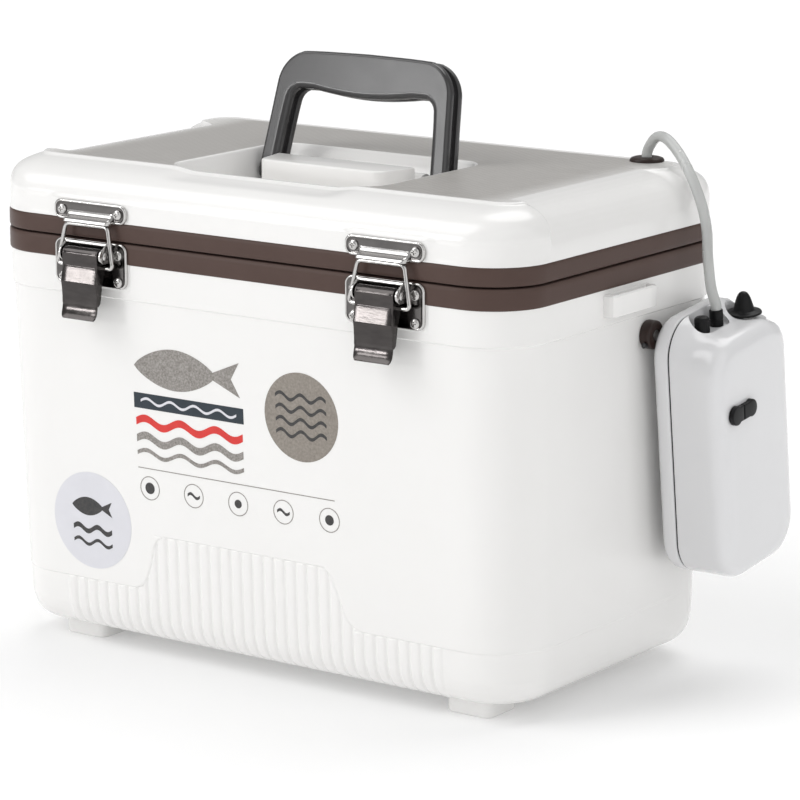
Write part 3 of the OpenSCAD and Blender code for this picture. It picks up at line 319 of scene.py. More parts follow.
MAT = {
    "white": material("white_shell", (0.835, 0.828, 0.815), (0.845, 0.838, 0.826), 0.235, 0.25, grain=14, bump=0.000012, bump_scale=1600, coat=0.25, coat_rough=0.1),
    # painted shade: the lid top panel takes a grey colour that stands in for the shade on the top; only its ribs are a
    # real bump
    "panel": material("lid_panel_ribbed", (0.4, 0.385, 0.367), (0.42, 0.405, 0.387), 0.36, 0.4, grain=80, bump=0.00002, bump_scale=1500,
                      wave=("X", 90.0, 0.00022), fade=(0.0232, 0.136, 0.162, (0.66, 0.65, 0.635))),
    "white_block": material("white_block", (0.83, 0.82, 0.805), (0.84, 0.83, 0.815), 0.25, 0.27, grain=16, bump=0.000012, bump_scale=1600, coat=0.2),
    "liner": material("liner_white", (0.79, 0.79, 0.78), (0.82, 0.82, 0.81), 0.35, 0.45, grain=25, bump=0.00003, bump_scale=500),
    "foam": material("foam_cream", (0.8, 0.72, 0.45), (0.88, 0.8, 0.55), 0.8, 0.95, grain=300, bump=0.0004, bump_scale=900, detail=6),
    "brown": material("trim_taupe", (0.083, 0.054, 0.046), (0.09, 0.059, 0.051), 0.34, 0.38, grain=40, bump=0.00003, bump_scale=900, spec=0.12),
    "gasket": material("gasket_dark", (0.012, 0.009, 0.008), (0.018, 0.014, 0.013), 0.6, 0.75, grain=200, bump=0.0001, bump_scale=1500),
    "steel": material("steel_polished", (0.52, 0.51, 0.5), (0.57, 0.56, 0.55), 0.1, 0.15, metallic=1.0, grain=120, bump=0.00001, bump_scale=600),
    # painted reflection: the lever's stainless steel is darkened to stand in for the dark surroundings it mirrors
    "lever": material("steel_dark_polished", (0.062, 0.057, 0.056), (0.08, 0.074, 0.072), 0.12, 0.18, metallic=1.0, grain=90, bump=0.00002, bump_scale=400, stretch=(1, 1, 3)),
    # painted reflection: the plates' lower field is a darkened copy of the same steel, standing in for the dark
    # surroundings it mirrors
    "field": material("steel_field", (0.11, 0.104, 0.102), (0.14, 0.133, 0.13), 0.13, 0.2, metallic=1.0, grain=120, bump=0.00001, bump_scale=600),
    "screw": material("screw_steel", (0.5, 0.49, 0.48), (0.6, 0.59, 0.58), 0.16, 0.26, metallic=1.0, grain=400, bump=0.00002, bump_scale=2500),
    "handle": material("handle_charcoal", (0.03, 0.029, 0.03), (0.036, 0.035, 0.036), 0.2, 0.24, grain=70, bump=0.00002, bump_scale=1200, coat=0.25, coat_rough=0.12),
    "rubber": material("rubber_black", (0.003, 0.003, 0.0034), (0.005, 0.005, 0.0055), 0.34, 0.42, spec=0.22, grain=150, bump=0.00005, bump_scale=1500),
    "brown_rubber": material("rubber_brown", (0.02, 0.011, 0.009), (0.028, 0.015, 0.012), 0.35, 0.45, spec=0.3, grain=150, bump=0.00006, bump_scale=1300),
    "black": material("plastic_black", (0.012, 0.012, 0.013), (0.02, 0.02, 0.021), 0.35, 0.5, grain=100, bump=0.00004, bump_scale=1500),
    "pump": material("pump_shell", (0.73, 0.73, 0.74), (0.75, 0.75, 0.76), 0.2, 0.22, grain=14, bump=0.000012, bump_scale=1600, coat=0.4, coat_rough=0.06),
    "cell": material("cell_wrap", (0.32, 0.2, 0.05), (0.38, 0.25, 0.07), 0.25, 0.35, metallic=0.7, grain=60, bump=0.00001, bump_scale=500),
    "brass": material("brass_contact", (0.75, 0.52, 0.2), (0.83, 0.6, 0.26), 0.2, 0.35, metallic=1.0, grain=200, bump=0.00002, bump_scale=1200),
    "motor": material("motor_can", (0.52, 0.52, 0.54), (0.62, 0.62, 0.63), 0.28, 0.4, metallic=1.0, grain=150, bump=0.00002, bump_scale=900, stretch=(1, 8, 1)),
    "pale": material("plastic_pale", (0.68, 0.64, 0.55), (0.74, 0.7, 0.6), 0.4, 0.5, grain=90, bump=0.00004, bump_scale=1200),
    "line": material("line_milky", (0.6, 0.61, 0.6), (0.66, 0.67, 0.66), 0.2, 0.3, grain=60, bump=0.00001, bump_scale=500, transmission=0.3, ior=1.42, coat=0.2, stretch=(1, 1, 0.2)),
    "stone": material("stone_grit", (0.07, 0.17, 0.28), (0.13, 0.27, 0.4), 0.85, 1.0, grain=900, bump=0.0006, bump_scale=2200, detail=8, speck=(1600.0, (0.4, 0.45, 0.5))),
    "disc": material("badge_taupe", (0.2, 0.175, 0.15), (0.3, 0.27, 0.235), 0.4, 0.5, grain=700, bump=0.00001, bump_scale=900, detail=8),
    "disc_pale": material("badge_pale", (0.66, 0.66, 0.7), (0.69, 0.69, 0.73), 0.35, 0.4, grain=60, bump=0.00001, bump_scale=900),
    "ink": material("badge_ink", (0.02, 0.02, 0.022), (0.05, 0.047, 0.045), 0.4, 0.5, grain=500, bump=0.00001, bump_scale=900, detail=8),
    "navy": material("badge_navy", (0.006, 0.016, 0.026), (0.01, 0.022, 0.034), 0.35, 0.4, grain=200, bump=0.00001, bump_scale=900),
    "red": material("badge_red", (0.62, 0.02, 0.016), (0.68, 0.03, 0.022), 0.35, 0.4, grain=200, bump=0.00001, bump_scale=900),
    "worn": material("badge_grey", (0.16, 0.145, 0.13), (0.36, 0.34, 0.32), 0.4, 0.5, grain=900, bump=0.00001, bump_scale=900, detail=8),
}


# ------------------------------------------------------------------ mesh helpers
def obj_from(name, V, F, mats, body, slot=None, nodes=(), sharp=32.0, midx=None, metres=False):
    me = bpy.data.meshes.new(name)
    V = np.asarray(V, float)
    co = V if metres else W(V)
    me.from_pydata([tuple(v) for v in co], [], [tuple(int(i) for i in f) for f in F])
    mats = mats if isinstance(mats, (list, tuple)) else [mats]
    for m in mats:
        me.materials.append(MAT[m])
    if midx is not None:
        me.polygons.foreach_set("material_index", np.asarray(midx, np.int32))
    bm = bmesh.new()
    bm.from_mesh(me)
    bmesh.ops.recalc_face_normals(bm, faces=bm.faces)
    bm.to_mesh(me)
    bm.free()
    me.shade_smooth()
    me.set_sharp_from_angle(angle=math.radians(sharp))
    me.validate()
    o = bpy.data.objects.new(name, me)
    scene.collection.objects.link(o)
    if body:
        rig.ride(o, body)
    if nodes:
        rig.replaces(o, *nodes)
    if slot:
        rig.slot(o, slot)
    return o


class Geo:
    """vertices and faces in millimetres, with a material index for each face"""

    def __init__(self):
        self.V, self.F, self.M = [], [], []

    def add(self, V, F, m=0):
        k = len(self.V)
        self.V.extend([tuple(v) for v in V])
        self.F.extend([tuple(i + k for i in f) for f in F])
        self.M.extend([m] * len(F))
        return self

    def merge(self, other, fn=None, m=None):
        V = np.array(other.V, float)
        if fn is not None:
            V = fn(V)
        k = len(self.V)
        self.V.extend([tuple(v) for v in V])
        self.F.extend([tuple(i + k for i in f) for f in other.F])
        self.M.extend(other.M if m is None else [m] * len(other.F))
        return self

    def obj(self, name, mats, body, slot=None, nodes=(), sharp=32.0):
        return obj_from(name, self.V, self.F, mats, body, slot, nodes, sharp, self.M)


def skin(rings, cap0=True, cap1=True, closed=True):
    """rings: list of equal-length point lists; quads between them and caps at both ends"""
    m = len(rings[0])
    V = [p for r in rings for p in r]
    F = []
    for j in range(len(rings) - 1):
        for i in range(m if closed else m - 1):
            a, b = j * m + i, j * m + (i + 1) % m
            F.append((a, b, b + m, a + m))
    if cap0:
        F.append(tuple(range(m - 1, -1, -1)))
    if cap1:
        F.append(tuple((len(rings) - 1) * m + i for i in range(m)))
    return V, F


def sk(g, rings, m=0, **k):
    V, F = skin(rings, **k)
    return g.add(V, F, m)


def rr(hx, hy, r, n=8):
    """outline of a rounded rectangle"""
    out = []
    for k in range(4):
        sx = 1 if k in (0, 3) else -1
        sy = 1 if k < 2 else -1
        for i in range(n + 1):
            a = math.radians(90 * k + 90 * i / n)
            out.append((sx * (hx - r) + r * math.cos(a), sy * (hy - r) + r * math.sin(a)))
    return out


def revolve(prof, n=40, cap=True):
    """prof: (radius, height) pairs, turned about z"""
    rings = [[(r * math.cos(2 * math.pi * i / n), r * math.sin(2 * math.pi * i / n), h) for i in range(n)] for r, h in prof]
    return skin(rings, cap, cap)


def frame_map(origin, ax, ay, az):
    o, ax, ay, az = (np.array(v, float) for v in (origin, ax, ay, az))
    return lambda V: o + V[:, :1] * ax + V[:, 1:2] * ay + V[:, 2:3] * az


def turned(g, prof, origin, axis, n=40, m=0):
    """a turned shape with its own z along axis, from origin"""
    az = np.array(axis, float)
    az /= np.linalg.norm(az)
    ref = np.array([0, 0, 1.0]) if abs(az[2]) < 0.9 else np.array([1.0, 0, 0])
    ax = np.cross(ref, az)
    ax /= np.linalg.norm(ax)
    ay = np.cross(az, ax)
    V, F = revolve(prof, n)
    return g.add(frame_map(origin, ax, ay, az)(np.array(V)), F, m)


def offset_poly(P, d):
    """closed outline moved inward by d (anticlockwise outline)"""
    P = np.asarray(P, float)
    a = P - np.roll(P, 1, 0)
    b = np.roll(P, -1, 0) - P
    a /= np.maximum(np.linalg.norm(a, axis=1), 1e-9)[:, None]
    b /= np.maximum(np.linalg.norm(b, axis=1), 1e-9)[:, None]
    na = np.stack([-a[:, 1], a[:, 0]], 1)
    nb = np.stack([-b[:, 1], b[:, 0]], 1)
    n = na + nb
    n /= np.maximum(np.linalg.norm(n, axis=1), 1e-9)[:, None]
    c = np.clip((n * na).sum(1), 0.35, 1)
    return P + n * (d / c)[:, None]


def slab(g, P, t0, t1, b=0.4, b1=None, seg=4, to=None, m=0):
    """outline P (anticlockwise) made solid from t0 to t1 with rounded edges; to maps (u, v, t) arrays to mm"""
    b1 = b if b1 is None else b1
    rings = []
    for k in range(seg + 1):
        a = math.pi / 2 * k / seg
        rings.append((t0 + b * (1 - math.sin(a)) if False else t0 + b * (1 - math.cos(a)), b * (1 - math.sin(a))))
    for k in range(seg, -1, -1):
        a = math.pi / 2 * k / seg
        rings.append((t1 - b1 * (1 - math.cos(a)), b1 * (1 - math.sin(a))))
    R = []
    for t, d in rings:
        Q = offset_poly(P, d) if d > 1e-6 else np.asarray(P, float)
        R.append(np.column_stack([Q, np.full(len(Q), t)]))
    V, F = skin([r.tolist() for r in R])
    V = np.array(V)
    if to is not None:
        V = to(V)
    return g.add(V, F, m)


def solid_box(g, c0, c1, b=0.6, m=0, seg=3, fn=None):
    """rounded box between two corners, as a cube of bevelled edges"""
    bm = bmesh.new()
    bmesh.ops.create_cube(bm, size=1)
    c0, c1 = np.array(c0, float), np.array(c1, float)
    for v in bm.verts:
        v.co = Vector((c0 + c1) / 2 + np.array(v.co) * (c1 - c0))
    bmesh.ops.bevel(bm, geom=bm.edges[:], offset=b, segments=seg, profile=0.5, affect="EDGES")
    V = np.array([v.co for v in bm.verts])
    F = [tuple(v.index for v in f.verts) for f in bm.faces]
    bm.free()
    if fn is not None:
        V = fn(V)
    return g.add(V, F, m)


def spline(P, k):
    """uniform Catmull-Rom through the points, k steps a segment"""
    P = np.asarray(P, float)
    n = len(P)
    out = []
    for i in range(n - 1):
        a, b, c, d = P[max(i - 1, 0)], P[i], P[i + 1], P[min(i + 2, n - 1)]
        for j in range(k):
            t = j / k
            out.append(0.5 * ((2 * b) + (c - a) * t + (2 * a - 5 * b + 4 * c - d) * t * t + (3 * b - a - 3 * c + d) * t ** 3))
    out.append(P[-1])
    return np.array(out)


def tube(g, L, r, n=16, m=0, radii=None):
    """round tube along the points, frames carried along without twist"""
    L = np.asarray(L, float)
    s = len(L)
    T = np.array([L[min(i + 1, s - 1)] - L[max(i - 1, 0)] for i in range(s)])
    T /= np.linalg.norm(T, axis=1)[:, None]
    ref = np.array([0, 0, 1.0]) if abs(T[0][2]) < 0.9 else np.array([1.0, 0, 0])
    u = np.cross(ref, T[0])
    u /= np.linalg.norm(u)
    rings = []
    for i in range(s):
        u = u - T[i] * (u @ T[i])
        u /= np.linalg.norm(u)
        v = np.cross(T[i], u)
        q = r if radii is None else radii[i]
        rings.append([tuple(L[i] + q * (math.cos(a) * u + math.sin(a) * v)) for a in np.linspace(0, 2 * math.pi, n, endpoint=False)])
    return sk(g, rings, m)


def apply_modifiers(o):
    dg = bpy.context.evaluated_depsgraph_get()
    me = bpy.data.meshes.new_from_object(o.evaluated_get(dg))
    o.modifiers.clear()
    o.data = me


def cut(o, tools, op="DIFFERENCE", bevel=0.0, angle=30, seg=3, sharp=32.0):
    """booleans with plain objects in metres, applied, then a rounded edge if asked"""
    for t in tools:
        md = o.modifiers.new("b", "BOOLEAN")
        md.operation = op
        md.solver = "EXACT"
        md.object = t
    apply_modifiers(o)
    for t in tools:
        bpy.data.objects.remove(t)
    if bevel:
        md = o.modifiers.new("r", "BEVEL")
        md.width = bevel / 1000
        md.segments = seg
        md.limit_method = "ANGLE"
        md.angle_limit = math.radians(angle)
        md.harden_normals = False
        apply_modifiers(o)
    o.data.shade_smooth()
    o.data.set_sharp_from_angle(angle=math.radians(sharp))
    return o


def tool(g, m="white"):
    return g.obj("tool", [m], None)


def both(fn):
    """left and right latch places"""
    for s, n in ((-1, "left"), (1, "right")):
        fn(s, n)


# ------------------------------------------------------------------ numbers shared with the CAD
HW, HD, SEAM = 184.0, 114.0, 246.0
BODY_TOP, BAND_LO, LID_LO, LID_BAND, LID_TOP = 245.5, 233.5, 246.5, 257.0, 288.0
LATCH_X, HINGE_X = 103.0, 110.0
FRONT_Y = -114.05
TILT = math.radians(7)
P_AT = np.array([190.0, 62.0, 140.0])
P_X = np.array([1.0, 0, 0])
P_Y = np.array([0, math.cos(TILT), math.sin(TILT)])
P_Z = np.array([0, -math.sin(TILT), math.cos(TILT)])
pump_map = frame_map(P_AT, P_X, P_Y, P_Z)


def smooth(a, b, x):
    t = np.clip((np.asarray(x, float) - a) / (b - a), 0, 1)
    return t * t * (3 - 2 * t)


# ------------------------------------------------------------------ free lines (route points as in the CAD, here in mm)
rise = P_Z
line_start = P_AT + 19 * P_X + 1.5 * P_Y + 72.1 * P_Z
outer_pts = [line_start, line_start + 2.8 * rise, line_start + 5.6 * rise, (204, 57, 226), (201, 58, 243), (199, 60, 256), (195, 62, 268),
             (188, 65, 280), (179, 69, 291), (169, 74, 299), (160, 78, 303.5), (152, 82, 303), (146, 85, 298), (143, 86, 292.5),
             (143, 86, 287), (143, 86, 280)]
inner_pts = [(143, 86, 258.5), (143, 86, 251.5), (143, 86, 240), (143, 85, 215), (144, 80, 180), (145, 77, 140), (145, 75, 100),
             (144, 74, 70), (142, 68, 49), (139, 57, 40.5), (137, 46, 38.8), (137, 41, 38.8)]


def make_line(name, pts, node):
    L = spline(pts, 8)
    g = Geo()
    tube(g, L, 3.0, 20)
    o = g.obj(name, ["line"], None, "clear_line", (node,))
    return o, L, float(np.linalg.norm(np.diff(L, axis=0), axis=1).sum()) / 1000


line_o, line_L, line_len = make_line("air_line_outer", outer_pts, "air_line")
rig.blend(line_o, "box", "lid", start=W((204, 57, 226)), end=W((160, 78, 303)))
inner_o, inner_L, inner_len = make_line("air_line_inner", inner_pts, "inner_air_line")
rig.blend(inner_o, "box", "lid", start=W((143.5, 83, 195)), end=W((143, 86, 250)))
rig.cord(line_o, exit=W(line_start), length=line_len, diameter=0.006, far_end="object", stiffness="limp", lay="loose", path=W(line_L))
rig.cord(inner_o, exit=W(inner_pts[0]), length=inner_len, diameter=0.006, far_end="fitting", stiffness="limp", lay="hanging",
        path=W(inner_L), with_pieces=["air_stone"])


# ------------------------------------------------------------------ outer shell
def interp_table(T, zs):
    """slices [z, hx, hy, r] read at any z"""
    T = np.array(T, float)
    return [np.interp(zs, T[:, 0], T[:, k]) for k in (1, 2, 3)]


def ring_pts(hx, hy, r, fx, ey, nc, yc=0.0, bx=None):
    """closed ring: front side positions fx, end side positions ey (both as shares -1..1 or mm), nc steps a corner.
    Starts on the front side going +x, then right end, back, left end."""
    out = []
    r = max(r, 0.01)
    for x in fx:                                    # front, -x to +x
        out.append((x, -hy + yc))
    for i in range(1, nc):
        a = math.radians(-90 + 90 * i / nc)
        out.append((hx - r + r * math.cos(a), -(hy - r) + r * math.sin(a) + yc))
    for y in ey:
        out.append((hx, y + yc))
    for i in range(1, nc):
        a = math.radians(90 * i / nc)
        out.append((hx - r + r * math.cos(a), (hy - r) + r * math.sin(a) + yc))
    for x in (bx if bx is not None else fx)[::-1]:
        out.append((x, hy + yc))
    for i in range(1, nc):
        a = math.radians(90 + 90 * i / nc)
        out.append((-(hx - r) + r * math.cos(a), (hy - r) + r * math.sin(a) + yc))
    for y in ey[::-1]:
        out.append((-hx, y + yc))
    for i in range(1, nc):
        a = math.radians(180 + 90 * i / nc)
        out.append((-(hx - r) + r * math.cos(a), -(hy - r) + r * math.sin(a) + yc))
    return out


def wall_y(z):
    return HD - 1.7 - 7.3 * (213.5 - z) / 172.0


base = 11.0
low = [[base, HW - 14, HD - 21.5, 24], [base + 0.35, HW - 12.2, HD - 19.8, 26], [base + 1.2, HW - 10.4, HD - 18, 28], [base + 2.5, HW - 8.5, HD - 16, 29.6],
       [base + 4, HW - 7, HD - 14.4, 31], [base + 6, HW - 5.5, HD - 13.1, 32.2], [base + 8, HW - 4.4, HD - 12, 33],
       [base + 11, HW - 3.5, HD - 10.9, 34], [base + 14, HW - 2.9, HD - 10.1, 34.2], [base + 17.5, HW - 2.6, HD - 9.7, 34.8], [base + 21, HW - 2.5, wall_y(base + 21), 35]]
up = [[212.9, HW - 1.6, HD - 1.8, 35], [213.3, HW - 1.1, HD - 1.3, 35.2], [213.8, HW - 0.55, HD - 0.7, 35.4], [214.6, HW - 0.5, HD - 0.6, 35.4], [BAND_LO + 0.4, HW - 0.5, HD - 0.6, 35.4]]
table_z = np.array(low + up)
zs = np.concatenate([[base, base + 0.35, base + 0.8], np.arange(base + 1.2, 32, 0.9), np.arange(32, 40, 1.0), np.arange(40, 45.2, 0.35), np.arange(46, 72.5, 0.9),
                     np.arange(73, 79, 0.35), [82, 90, 110, 135, 160, 185, 205, 212.3, 212.9, 213.1, 213.3, 213.55, 213.8, 214.6, 217.9, 218.4, 218.9, 219.4, 222, 228, 232.6, BAND_LO + 0.4]])
hx_, hy_, r_ = interp_table(table_z, zs)
# wall of the front leans: straight between the base rounding and the step
for i, z in enumerate(zs):
    if 32 <= z <= 212.9:
        hy_[i] = wall_y(z) + (0 if z < 212 else 0)
        hx_[i] = HW - 2.5 + (z - 32) / 181 * 0.9
fx = np.concatenate([np.linspace(-145.5, -138.6, 6), np.arange(-138, 138.1, 0.55), np.linspace(138.6, 145.5, 6)])
ey = np.linspace(-78.5, 78.5, 25)
bx = np.linspace(-145.5, 145.5, len(fx))
NF, NC, NE = len(fx), 14, len(ey)

# boundary of the ribbed field: low row, raised middle with S-shaped ends
field = np.array([(-190, 42.4), (-90, 42.4), (-83.5, 42.6), (-79.4, 43.4), (-76.2, 45.4), (-73.4, 49.5), (-71.0, 55.0), (-69.3, 60.5), (-68.0, 65.5),
                  (-66.5, 70.2), (-64.4, 73.3), (-61.5, 75.2), (-57.5, 76.1), (46, 76.1), (52.5, 75.7), (57.0, 74.0), (60.3, 70.4), (62.8, 65.2),
                  (65.0, 59.4), (67.2, 53.4), (70.0, 48.2), (73.6, 44.8), (78.5, 42.9), (85, 42.4), (190, 42.4)])
field = spline(field, 4)


def field_distance(x, z):
    """signed distance (mm) below the boundary line, positive inside the ribbed field"""
    A, B = field[:-1], field[1:]
    P = np.stack([x, z], 1)[:, None, :]
    d = B - A
    t = np.clip(((P - A) * d).sum(2) / (d * d).sum(1), 0, 1)
    near = A + t[..., None] * d
    dist = np.sqrt(((P - near) ** 2).sum(2))
    k = dist.argmin(1)
    top = np.interp(x, field[:, 0], field[:, 1])
    return np.where(z < top, 1, -1) * dist[np.arange(len(x)), k]


def crest(x):
    """rounded flutes 7.7 mm apart, height 0 in the valleys to 1 on the crests"""
    u = (x + 0.2) / 7.7
    u = u - np.round(u)
    return np.sqrt(np.clip(1 - (np.abs(u) * 2) ** 2.3, 0, 1))


shell_rings = []
for z, hx, hy, r in zip(zs, hx_, hy_, r_):
    R = np.array(ring_pts(hx, hy, r, fx, ey * (hy - r) / 78.6, NC, bx=bx))
    x, y = R[:, 0].copy(), R[:, 1].copy()
    # outward direction of each ring point
    cx = np.clip(x, -(hx - r), hx - r)
    cy = np.clip(y, -(hy - r), hy - r)
    n = np.stack([x - cx, y - cy], 1)
    ln = np.linalg.norm(n, axis=1)
    n = n / np.maximum(ln, 1e-6)[:, None]
    front = np.zeros(len(x))
    front[:NF] = 1
    # plinth below z 42: set in a little on the front and both ends, the wall above stands proud
    side = np.where(y < 60, 1.0, 0.0)
    below = smooth(-0.45, 0.45, np.where(front > 0, field_distance(x, np.full(len(x), z)), 42.4 - z))
    d = -0.75 * below * side
    d[front == 0] *= 0.55
    rib = front * smooth(0, 0.9, field_distance(x, np.full(len(x), z)) if z < 80 else -np.ones(len(x))) * smooth(-134.2, -132.6, x) * smooth(134.4, 132.8, x)
    if z < 80:
        d += rib * (-0.95 + 1.7 * crest(x))
    # pads behind the latch plates
    for s in (-1, 1):
        d += front * 0.6 * smooth(218.2, 219.2, z) * smooth(27.2, 26.2, np.abs(x - s * LATCH_X))
    d[front > 0] *= 1
    R = R + n * d[:, None]
    shell_rings.append([(p[0], p[1], z) for p in R])
rings = shell_rings[:]
# step in behind the trim band and the inner face
def plain(hx, hy, r, z):
    return [(p[0], p[1], z) for p in ring_pts(hx, hy, r, fx * min(1, (hx - r) / 145.6), ey * min(1, (hy - r) / 78.6), NC, bx=bx * min(1, (hx - r) / 145.6))]


rings += [plain(HW - 3, HD - 3, 32, BAND_LO + 0.45), plain(HW - 3, HD - 3, 32, 243), plain(HW - 5.6, HD - 5.6, 29.4, 243),
          plain(HW - 4.6, HD - 4.8, 32, 213), plain(HW - 5.6, wall_y(30) - 3.4, 32, 30), plain(HW - 6.8, HD - 14.4, 31, 23), plain(HW - 9.5, HD - 17.2, 29, 18),
          plain(HW - 13, HD - 20.8, 26, 15), plain(HW - 17, HD - 24, 22, 13.6)]
g = Geo()
sk(g, rings)
# rails under both ends
for s in (-1, 1):
    solid_box(g, (s * 152 - 5, -44, 7.5), (s * 152 + 5, 38, 13.5), 1.0)
shell = g.obj("outer_shell_moulding", ["white"], "box", "white_plastic", ("outer_shell",), sharp=38)

# strap lugs with their slots
g = Geo()
for s in (-1, 1):
    to = frame_map((s * HW, 0, 0), (0, 1 * s, 0), (s, 0, 0), (0, 0, 1))
    outer = [(-23, -3), (23, -3), (23, 3.6), (22.3, 5.6), (20.4, 6.6), (-20.4, 6.6), (-22.3, 5.6), (-23, 3.6)]
    inner = [(-19.5, 0.5), (19.5, 0.5), (19.5, 3.6), (18.9, 4.6), (-18.9, 4.6), (-19.5, 3.6)]
    # a ring of four walls: outline with a slot, built as a stack of both outlines
    O = np.array(outer)
    I = np.array(inner)

    def resample(P, n):
        P = np.vstack([P, P[:1]])
        s_ = np.concatenate([[0], np.cumsum(np.linalg.norm(np.diff(P, axis=0), axis=1))])
        t = np.linspace(0, s_[-1], n, endpoint=False)
        return np.stack([np.interp(t, s_, P[:, 0]), np.interp(t, s_, P[:, 1])], 1)
    ang = np.linspace(0, 2 * math.pi, 72, endpoint=False)

    def ray(P, c=(0, 2.0)):
        """point where each ray from c meets the outline"""
        out = []
        P = np.asarray(P, float) - c
        Q = np.roll(P, -1, 0)
        for a in ang:
            dct = np.array([math.cos(a), math.sin(a)])
            best = None
            for p, q in zip(P, Q):
                e = q - p
                det = dct[0] * -e[1] + dct[1] * e[0]
                if abs(det) < 1e-12:
                    continue
                t = (p[0] * -e[1] + p[1] * e[0]) / det
                u_ = (dct[0] * p[1] - dct[1] * p[0]) / det
                if t > 0 and -1e-9 <= u_ <= 1 + 1e-9 and (best is None or t < best):
                    best = t
            out.append(dct * best + c)
        return np.array(out)
    ang = np.unique(np.concatenate([np.arctan2(O[:, 1] - 2.0, O[:, 0]), np.arctan2(I[:, 1] - 2.0, I[:, 0]),
                                    np.linspace(-math.pi, math.pi, 40, endpoint=False)]))
    ro, ri = ray(O), ray(I)
    roB, riB = ray(offset_poly(O, 0.9)), ray(offset_poly(I[::1], -0.5))
    st = [(ro, 219.2), (ro, 230.3), (roB * [1, 1], 231.3), (riB, 231.3), (ri, 230.7), (ri, 220.2), (riB, 219.2 + 0.3), (roB, 218.7)]
    R = [to(np.column_stack([q, np.full(len(q), z)])).tolist() for q, z in st]
    V, F = skin(R, False, False)
    m_ = len(R[0])
    k = (len(R) - 1) * m_
    F += [(k + i, k + (i + 1) % m_, (i + 1) % m_, i) for i in range(m_)]
    g.add(V, F)
lugs = g.obj("strap_lugs", ["white"], "box", "white_plastic", (), sharp=40)

# feet
g = Geo()
for x in (-138, 138):
    for y in (-72, 72):
        sl = [(0, -1.3, 4.2), (0.25, -0.7, 4.6), (0.7, -0.25, 4.9), (1.3, 0, 5), (9.2, 0, 5), (10.98, -0.1, 5)]
        st = [[(x + p[0], y + p[1], z) for p in rr(15 + d, 14 + d, r, 8)] for z, d, r in sl]
        sk(g, st)
g.obj("feet_moulded", ["white"], "box", "white_plastic", ("feet",))


# ------------------------------------------------------------------ bands, liner, gasket
def band(g, prof, n=18, m=0):
    """closed cross-section (inset, z) carried round the box's outline"""
    R = [[(p[0], p[1], z) for p in rr(HW - d, HD - d, 35 - d, n)] for d, z in prof]
    V, F = skin(R + [R[0]], False, False)
    k = len(R[0])
    V = V[:-k]
    tot = len(R) * k
    F = [tuple(i % tot for i in f) for f in F]
    return g.add(V, F, m)


g = Geo()
band(g, [(0.9, 233.5), (0.35, 233.75), (0.08, 234.3), (0, 236), (0, 243), (0.1, 244.6), (0.45, 245.25), (1.1, 245.5), (13.9, 245.5), (13.9, 243.1), (2.9, 243.1), (2.9, 233.5)])
g.obj("body_trim_band", ["brown"], "box", "brown_plastic", ("body_trim",), sharp=40)
g = Geo()
band(g, [(1.1, 246.5), (0.4, 246.75), (0.08, 247.4), (0, 249), (0, 254.6), (0.08, 256.1), (0.35, 256.75), (0.9, 257), (2.9, 257), (2.9, 251), (13.9, 251), (13.9, 246.5), (12.6, 246.5),
         (12.6, 248.6), (6.9, 248.6), (6.9, 246.5)])
g.obj("lid_trim_band", ["brown"], "lid", "brown_plastic", ("lid_trim",), sharp=40)
g = Geo()
band(g, [(7.0, 246.3), (7.4, 245.75), (9.75, 245.55), (12.1, 245.75), (12.5, 246.3), (12.5, 248.5), (7.0, 248.5)])
g.obj("lid_gasket_ring", ["gasket"], "lid", "gasket_rubber", ("lid_gasket",), sharp=50)

# tub
lout = [(29, HW - 34, HD - 40, 14), (30.5, HW - 28.5, HD - 35, 18), (34, HW - 25, HD - 31.6, 20), (40, HW - 23.4, HD - 29.6, 21), (243.2, HW - 19.6, HD - 19.6, 22.4),
        (243.2, HW - 14.1, HD - 14.1, 20.9), (245.5, HW - 14.1, HD - 14.1, 20.9)]
lin = [(245.5, HW - 20.8, HD - 20.8, 21), (245.2, HW - 21.6, HD - 21.6, 20.4), (244.2, HW - 22, HD - 22, 20)]
for t in np.linspace(0.02, 1, 10):
    z = 244 + (42 - 244) * t
    lin.append((z, HW - 22 - 4 * t, HD - 22 - 10.2 * t, 20 - t))
lin += [(38.8, HW - 26.6, HD - 32.9, 18.8), (36.3, HW - 27.6, HD - 34, 18.4), (34.2, HW - 29, HD - 35.2, 17.5), (32.6, HW - 31, HD - 37, 16), (31.7, HW - 33.6, HD - 39.6, 14), (31.5, HW - 37, HD - 43, 12)]
g = Geo()
sk(g, [[(p[0], p[1], z) for p in rr(a, b, r, 12)] for z, a, b, r in lout + lin])
g.obj("tub_liner", ["liner"], "box", "liner_plastic", ("inner_liner",), sharp=40)


# ------------------------------------------------------------------ lid
prof = spline(np.array([(0.4, 0.4, 257.0, 34.6), (0.44, 0.46, 259.5, 34.5), (0.5, 0.58, 262.5, 34.4), (0.58, 0.76, 265.5, 34.0), (0.7, 1.0, 268.5, 33.4), (1.1, 1.9, 272.5, 31.8),
                        (2.1, 3.4, 276.0, 29.8), (3.7, 5.6, 279.0, 27.4), (5.8, 8.6, 281.5, 24.6), (8.6, 12.6, 283.6, 21.6), (11.6, 17.4, 285.2, 18.4), (14.0, 21.6, 286.2, 15.6)]), 4)
NK = len(prof)
fxl = np.linspace(-144, 144, 73)
eyl = np.concatenate([np.linspace(-79, -64, 46), np.linspace(-62, 54, 30), np.linspace(56, 72, 26), np.linspace(74, 79, 4)])
NCL = 22
scoop_t = np.array([(0.4, 257), (0.5, 260), (0.7, 263), (1.1, 266), (1.9, 269), (3.2, 272.5), (5.0, 276), (7.3, 279), (9.8, 281), (12.6, 282.7), (16, 284.2), (20, 285.4), (25, 286.5), (31, 287.3), (38, 287.8), (46, 288)])
scoop_s = np.concatenate([[0], np.cumsum(np.linalg.norm(np.diff(scoop_t, axis=0), axis=1))])


